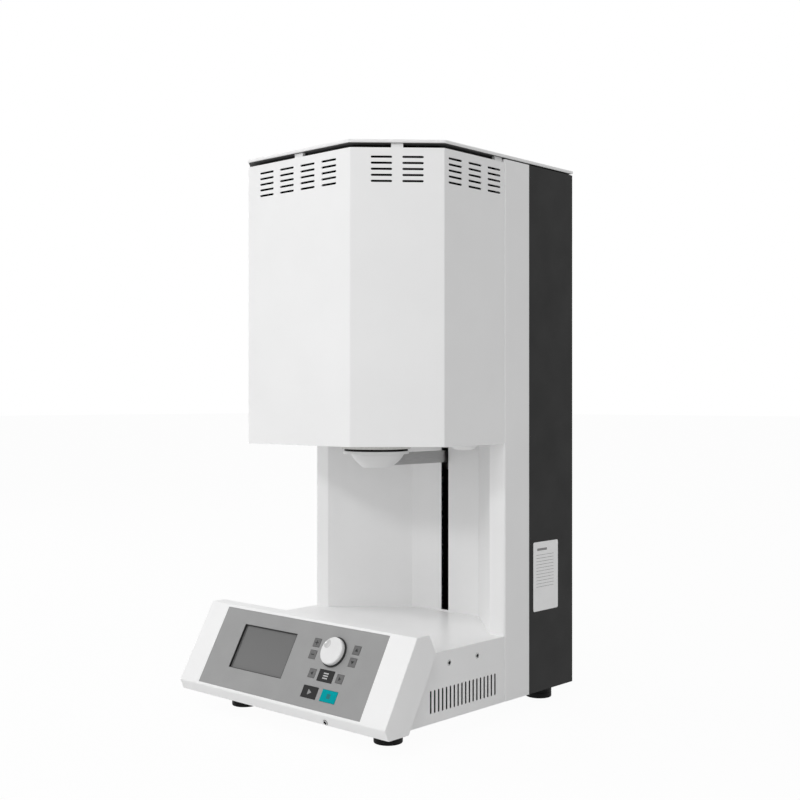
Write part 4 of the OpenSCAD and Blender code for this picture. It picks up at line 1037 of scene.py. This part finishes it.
def wire_guard():
    """A finger guard of round wire: rings by a geometry tree, on the flat guard's box."""
    low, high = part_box("fan_guard")
    hub = centre_of("fan_rotor")
    wire = WIRE_MM * MM
    middle = Vector((hub.x, low.y + wire, hub.z))
    reach = (high.x - low.x) / 2 * math.sqrt(2)
    start, end = SPOKE_START_MM * MM, reach - SPOKE_INSET_MM * MM
    holder = link_object("guard_holder", bpy.data.meshes.new("guard_holder"))
    first, pitch = FIRST_RING_MM * MM, RING_PITCH_MM * MM
    rings = grown(holder, guard_tree(), Wire=wire, First=first, Pitch=pitch, Rings=RINGS)
    work = bmesh.new()
    work.from_mesh(rings)
    for k in range(4):
        a = math.radians(45 + 90 * k)
        along = Vector((math.cos(a), math.sin(a), 0))
        turn = along.to_track_quat("Z", "Y").to_matrix()
        for v in cylinder(work, wire, end - start, 10):
            v.co = turn @ v.co + along * ((start + end) / 2)
        for v in cylinder(work, EYE_MM * MM, 2 * wire, 20):
            v.co = v.co + along * (reach - EYE_INSET_MM * MM)
    cylinder(work, first, 1.5 * wire, 32)
    upright = Matrix.Translation(middle) @ Matrix.Rotation(math.pi / 2, 4, "X")
    bmesh.ops.transform(work, matrix=upright, verts=work.verts)
    bmesh.ops.recalc_face_normals(work, faces=work.faces)
    stand_in("wire_fan_guard", work, [GROUND_STEEL], "fan_guard")


# The inlet's contacts: how far they are below its middle, half their field's width and height,
# the depths between which they stand, and an area that none of their faces reaches
CONTACTS_DOWN_MM, CONTACTS_HALF_MM, CONTACTS_DEPTH_MM = 14, (8.2, 7), (6, 16.9)
CONTACT_AREA = 60 * MM * MM


def in_socket(face):
    """Paint rule: 1 on the three contact blades of the mains inlet."""
    centre = centre_of("power_inlet")
    centre.z -= CONTACTS_DOWN_MM * MM
    away = (face.calc_center_median() - centre) / MM
    depth_mm = (high_corner("power_inlet") - face.calc_center_median()).y / MM
    near = abs(away.x) < CONTACTS_HALF_MM[0] and abs(away.z) < CONTACTS_HALF_MM[1]
    deep = CONTACTS_DEPTH_MM[0] < depth_mm < CONTACTS_DEPTH_MM[1]
    return int(near and deep and face.calc_area() < CONTACT_AREA)


def rocker_marks():
    """A line and a circle, the usual marks for on and off, on the rocker's two outer facets."""
    rocker = merged("mains_rocker")
    facets = [f for f in rocker.faces if f.normal.y > 0.8]
    facets.sort(key=lambda f: f.calc_center_median().x)
    # The circle is one outline, so it stays open by 4 degrees
    arc = [math.radians(2 + 356 * i / 32) for i in range(33)]
    outer, inner = 1.5, 1.0
    circle = [(outer * math.cos(a), outer * math.sin(a)) for a in arc]
    circle += [(inner * math.cos(a), inner * math.sin(a)) for a in reversed(arc)]
    work = bmesh.new()
    for facet, shape in ((facets[0], rectangle(0.6, 3)), (facets[-1], circle)):
        out = facet.normal.normalized()
        across = out.cross(Vector((0, 0, 1))).normalized()
        turn = Matrix((across, out.cross(across), out)).transposed().to_4x4()
        slab(work, shape, Matrix.Translation(facet.calc_center_median()) @ turn, INK_MM)
    rocker.free()
    bmesh.ops.recalc_face_normals(work, faces=work.faces)
    make_piece("rocker_marks", work, [INK_PALE], BODY_OF["mains_rocker"])


def dress_rear():
    """The fan, the mains inlet and the mains switch."""
    dress("fan_frame", BLACK_PLASTIC, 0.6, 2, longer_than(15))
    dress("fan_rotor", BLACK_PLASTIC, 0.3, 2, longer_than(5))
    dress("power_inlet", BLACK_PLASTIC, 0.5, 2, longer_than(10), in_socket, [CONTACT])
    dress("mains_rocker", SWITCH_RED, 0.4, 2, longer_than(5))
    rocker_marks()
    wire_guard()


# Rubber feet with a moulded recess and a washer below


def turned(work, profile, middle, steps=64):
    """Adds a closed turned shape from (radius, height) points in millimetres, bottom to top.
    A radius of 0 is one point."""
    loops = []
    for r, z in profile:
        loop = []
        for i in range(steps if r else 1):
            a = 2 * math.pi * i / steps
            x, y = middle[0] + r * MM * math.cos(a), middle[1] + r * MM * math.sin(a)
            loop.append(work.verts.new((x, y, z * MM)))
        loops.append(loop)
    for lower, upper in zip(loops, loops[1:]):
        for i in range(steps):
            j = (i + 1) % steps
            below, above = len(lower), len(upper)
            corners = (lower[i % below], lower[j % below], upper[j % above], upper[i % above])
            unique = list(dict.fromkeys(corners))
            if len(unique) > 2:
                work.faces.new(unique)


def dress_feet():
    """The rubber feet, each with a recess below for its screw and washer."""
    work = bmesh.new()
    caps = bmesh.new()
    for low, high in solids_of("feet"):
        middle = ((low.x + high.x) / 2, (low.y + high.y) / 2)
        r = (high.x - low.x) / 2 / MM
        top = high.z / MM
        turned(
            work,
            [
                (0, 3.2), (7.5, 3.2), (8, 3), (8, 0.6), (8.6, 0), (r - 1.6, 0), (r - 0.5, 0.4),
                (r, 1.5), (r, 7.6), (r - 0.5, 8.1), (r - 0.5, 9.1), (r, 9.6), (r, top), (0, top),
            ],
            middle,
        )
        turned(caps, [(0, 1.2), (4.2, 1.2), (5.2, 2.0), (5.2, 3.25), (0, 3.25)], middle, 32)
    stand_in("rubber_feet", work, [RUBBER], "feet")
    make_piece("foot_screws", caps, [SCREW_STEEL], "furnace")


# The plate on the housing's right side


# Its size, its middle from the housing's front edge and the table, and its thickness
PLATE_MM, PLATE_AT_MM, PLATE_THICK_MM = (60.4, 99.8), (40.4, 191.6), 0.35
# Its bar and its rules: width, height and middle from the top left corner
BAR_MM = (24, 3.4, 21, 11)
RULE_MM, RULE_PITCH_MM, RULES, RULE_INK_MM = (42.4, 0.5, 28.2, 19), 4.6, 11, 0.05


def rating_plate():
    """A silver film with rounded corners, one short bar and plain rules."""
    low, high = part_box("rear_housing")
    width, height = PLATE_MM
    centre = Vector((high.x, low.y + PLATE_AT_MM[0] * MM, PLATE_AT_MM[1] * MM))
    turn = Matrix(((0, 0, 1), (1, 0, 0), (0, 1, 0))).to_4x4()
    place = Matrix.Translation(centre) @ turn
    work = bmesh.new()
    slab(work, rounded_rectangle(width, height, 2.5), place, PLATE_THICK_MM)
    make_piece("rating_plate", work, [PLATE_FILM], "furnace")
    lines = bmesh.new()
    raised = place @ Matrix.Translation((0, 0, PLATE_THICK_MM * MM))
    bars = [(*BAR_MM, 0)] + [(*RULE_MM, k * RULE_PITCH_MM) for k in range(RULES)]
    for long, thick, right, down, further in bars:
        shape = rectangle(long, thick, right - width / 2, height / 2 - down - further)
        slab(lines, shape, raised, RULE_INK_MM)
    make_piece("rating_plate_rules", lines, [INK_GREY], "furnace")


# Studio


def looked_at(tree):
    """1 for what is seen, mirrored or seen through glass, 0 for what only lights the object."""
    rays = add(tree, "ShaderNodeLightPath").outputs
    seen = rays["Is Camera Ray"]
    for ray in ("Is Glossy Ray", "Is Transmission Ray"):
        seen = math_node(tree, "MAXIMUM", seen, rays[ray])
    return seen


# The share of plain white in the floor that is seen. The rest shows the object's shadow.
FLOOR_WHITE = 0.96


def studio_floor():
    """A pale floor that keeps the object's shadow but looks white to the camera."""
    material, tree, shader, _ = new_material("studio_floor", "#E8E8E8", 0.9)
    share = math_node(tree, "MULTIPLY", looked_at(tree), FLOOR_WHITE)
    white = add(tree, "ShaderNodeEmission", {"Color": (1, 1, 1, 1), "Strength": 1.0})
    mix = add(tree, "ShaderNodeMixShader", {0: share, 1: shader.outputs[0], 2: white.outputs[0]})
    output = tree.nodes["Material Output"]
    tree.links.new(mix.outputs[0], output.inputs["Surface"])
    mesh = bpy.data.meshes.new("studio_floor")
    mesh.from_pydata([(30 * x, 30 * y, 0) for x, y in CORNERS], [], [(0, 1, 2, 3)])
    mesh.materials.append(material)
    floor = link_object("studio_floor", mesh)


def world_light(middle, swing):
    """White studio walls. They light the front more than the back, as big front softboxes do."""
    world = bpy.data.worlds.new("studio_world")
    bpy.context.scene.world = world
    world.use_nodes = True
    tree = world.node_tree
    tree.nodes.clear()
    way = add(tree, "ShaderNodeTexCoord").outputs["Generated"]
    to_front = (0.16, -0.97, 0.12)
    front = add(tree, "ShaderNodeVectorMath", {0: way, 1: to_front}, operation="DOT_PRODUCT")
    level = ranged(tree, front.outputs["Value"], middle - swing, middle + swing, (-1, 1))
    soft, white = (
        add(tree, "ShaderNodeBackground", {"Color": (1, 1, 1, 1), "Strength": strength}).outputs[0]
        for strength in (level, 1.0)
    )
    mix = add(tree, "ShaderNodeMixShader", {0: looked_at(tree), 1: soft, 2: white})
    add(tree, "ShaderNodeOutputWorld", {"Surface": mix.outputs[0]})


def area_lamp(name, place, target, size, watts, mirrored=True):
    """A square lamp. One that isn't mirrored leaves no glare on smooth faces."""
    lamp = bpy.data.lights.new(name, "AREA")
    lamp.shape = "SQUARE"
    lamp.size = size
    lamp.energy = watts
    holder = link_object(name, lamp)
    holder.location = place
    holder.rotation_euler = (Vector(target) - Vector(place)).to_track_quat("-Z", "Y").to_euler()
    holder.visible_glossy = mirrored


# The photograph's own viewpoint, fitted to its straight edges: level, and turned by the azimuth
CAMERA_PLACE, CAMERA_AZIMUTH = (1.2081, -1.2801, 0.4466), math.radians(42.5)
LENS_MM, SENSOR_MM = 53.73, 36.0


def make_camera():
    """The camera that stands where the photograph's did."""
    lens = bpy.data.cameras.new("photo_camera")
    lens.sensor_width = SENSOR_MM
    lens.lens = LENS_MM
    lens.clip_start = 0.05
    lens.clip_end = 100
    camera = link_object("photo_camera", lens)
    camera.location = CAMERA_PLACE
    camera.rotation_euler = (math.radians(90), 0, CAMERA_AZIMUTH)
    bpy.context.scene.camera = camera


make_camera()
dress_sheets()
dress_console()
dress_screws()
dress_lift()
dress_inside()
dress_rear()
dress_feet()
rating_plate()
studio_floor()
world_light(middle=0.455, swing=0.06)
area_lamp("front_lamp", (-0.1, -3.2, 1.76), (0, 0, 0.4), 0.3, 16)
area_lamp("right_softbox", (1.6, -2.9, 1.3), (0, 0, 0.4), 1.6, 6)
area_lamp("upper_softbox", (0.9, -1.9, 2.6), (0, 0, 0.3), 1.6, 17)
area_lamp("left_softbox", (-3.0, -0.8, 2.0), (0, 0, 0.2), 1.6, 40, mirrored=False)
bpy.context.scene.view_settings.view_transform = "Standard"
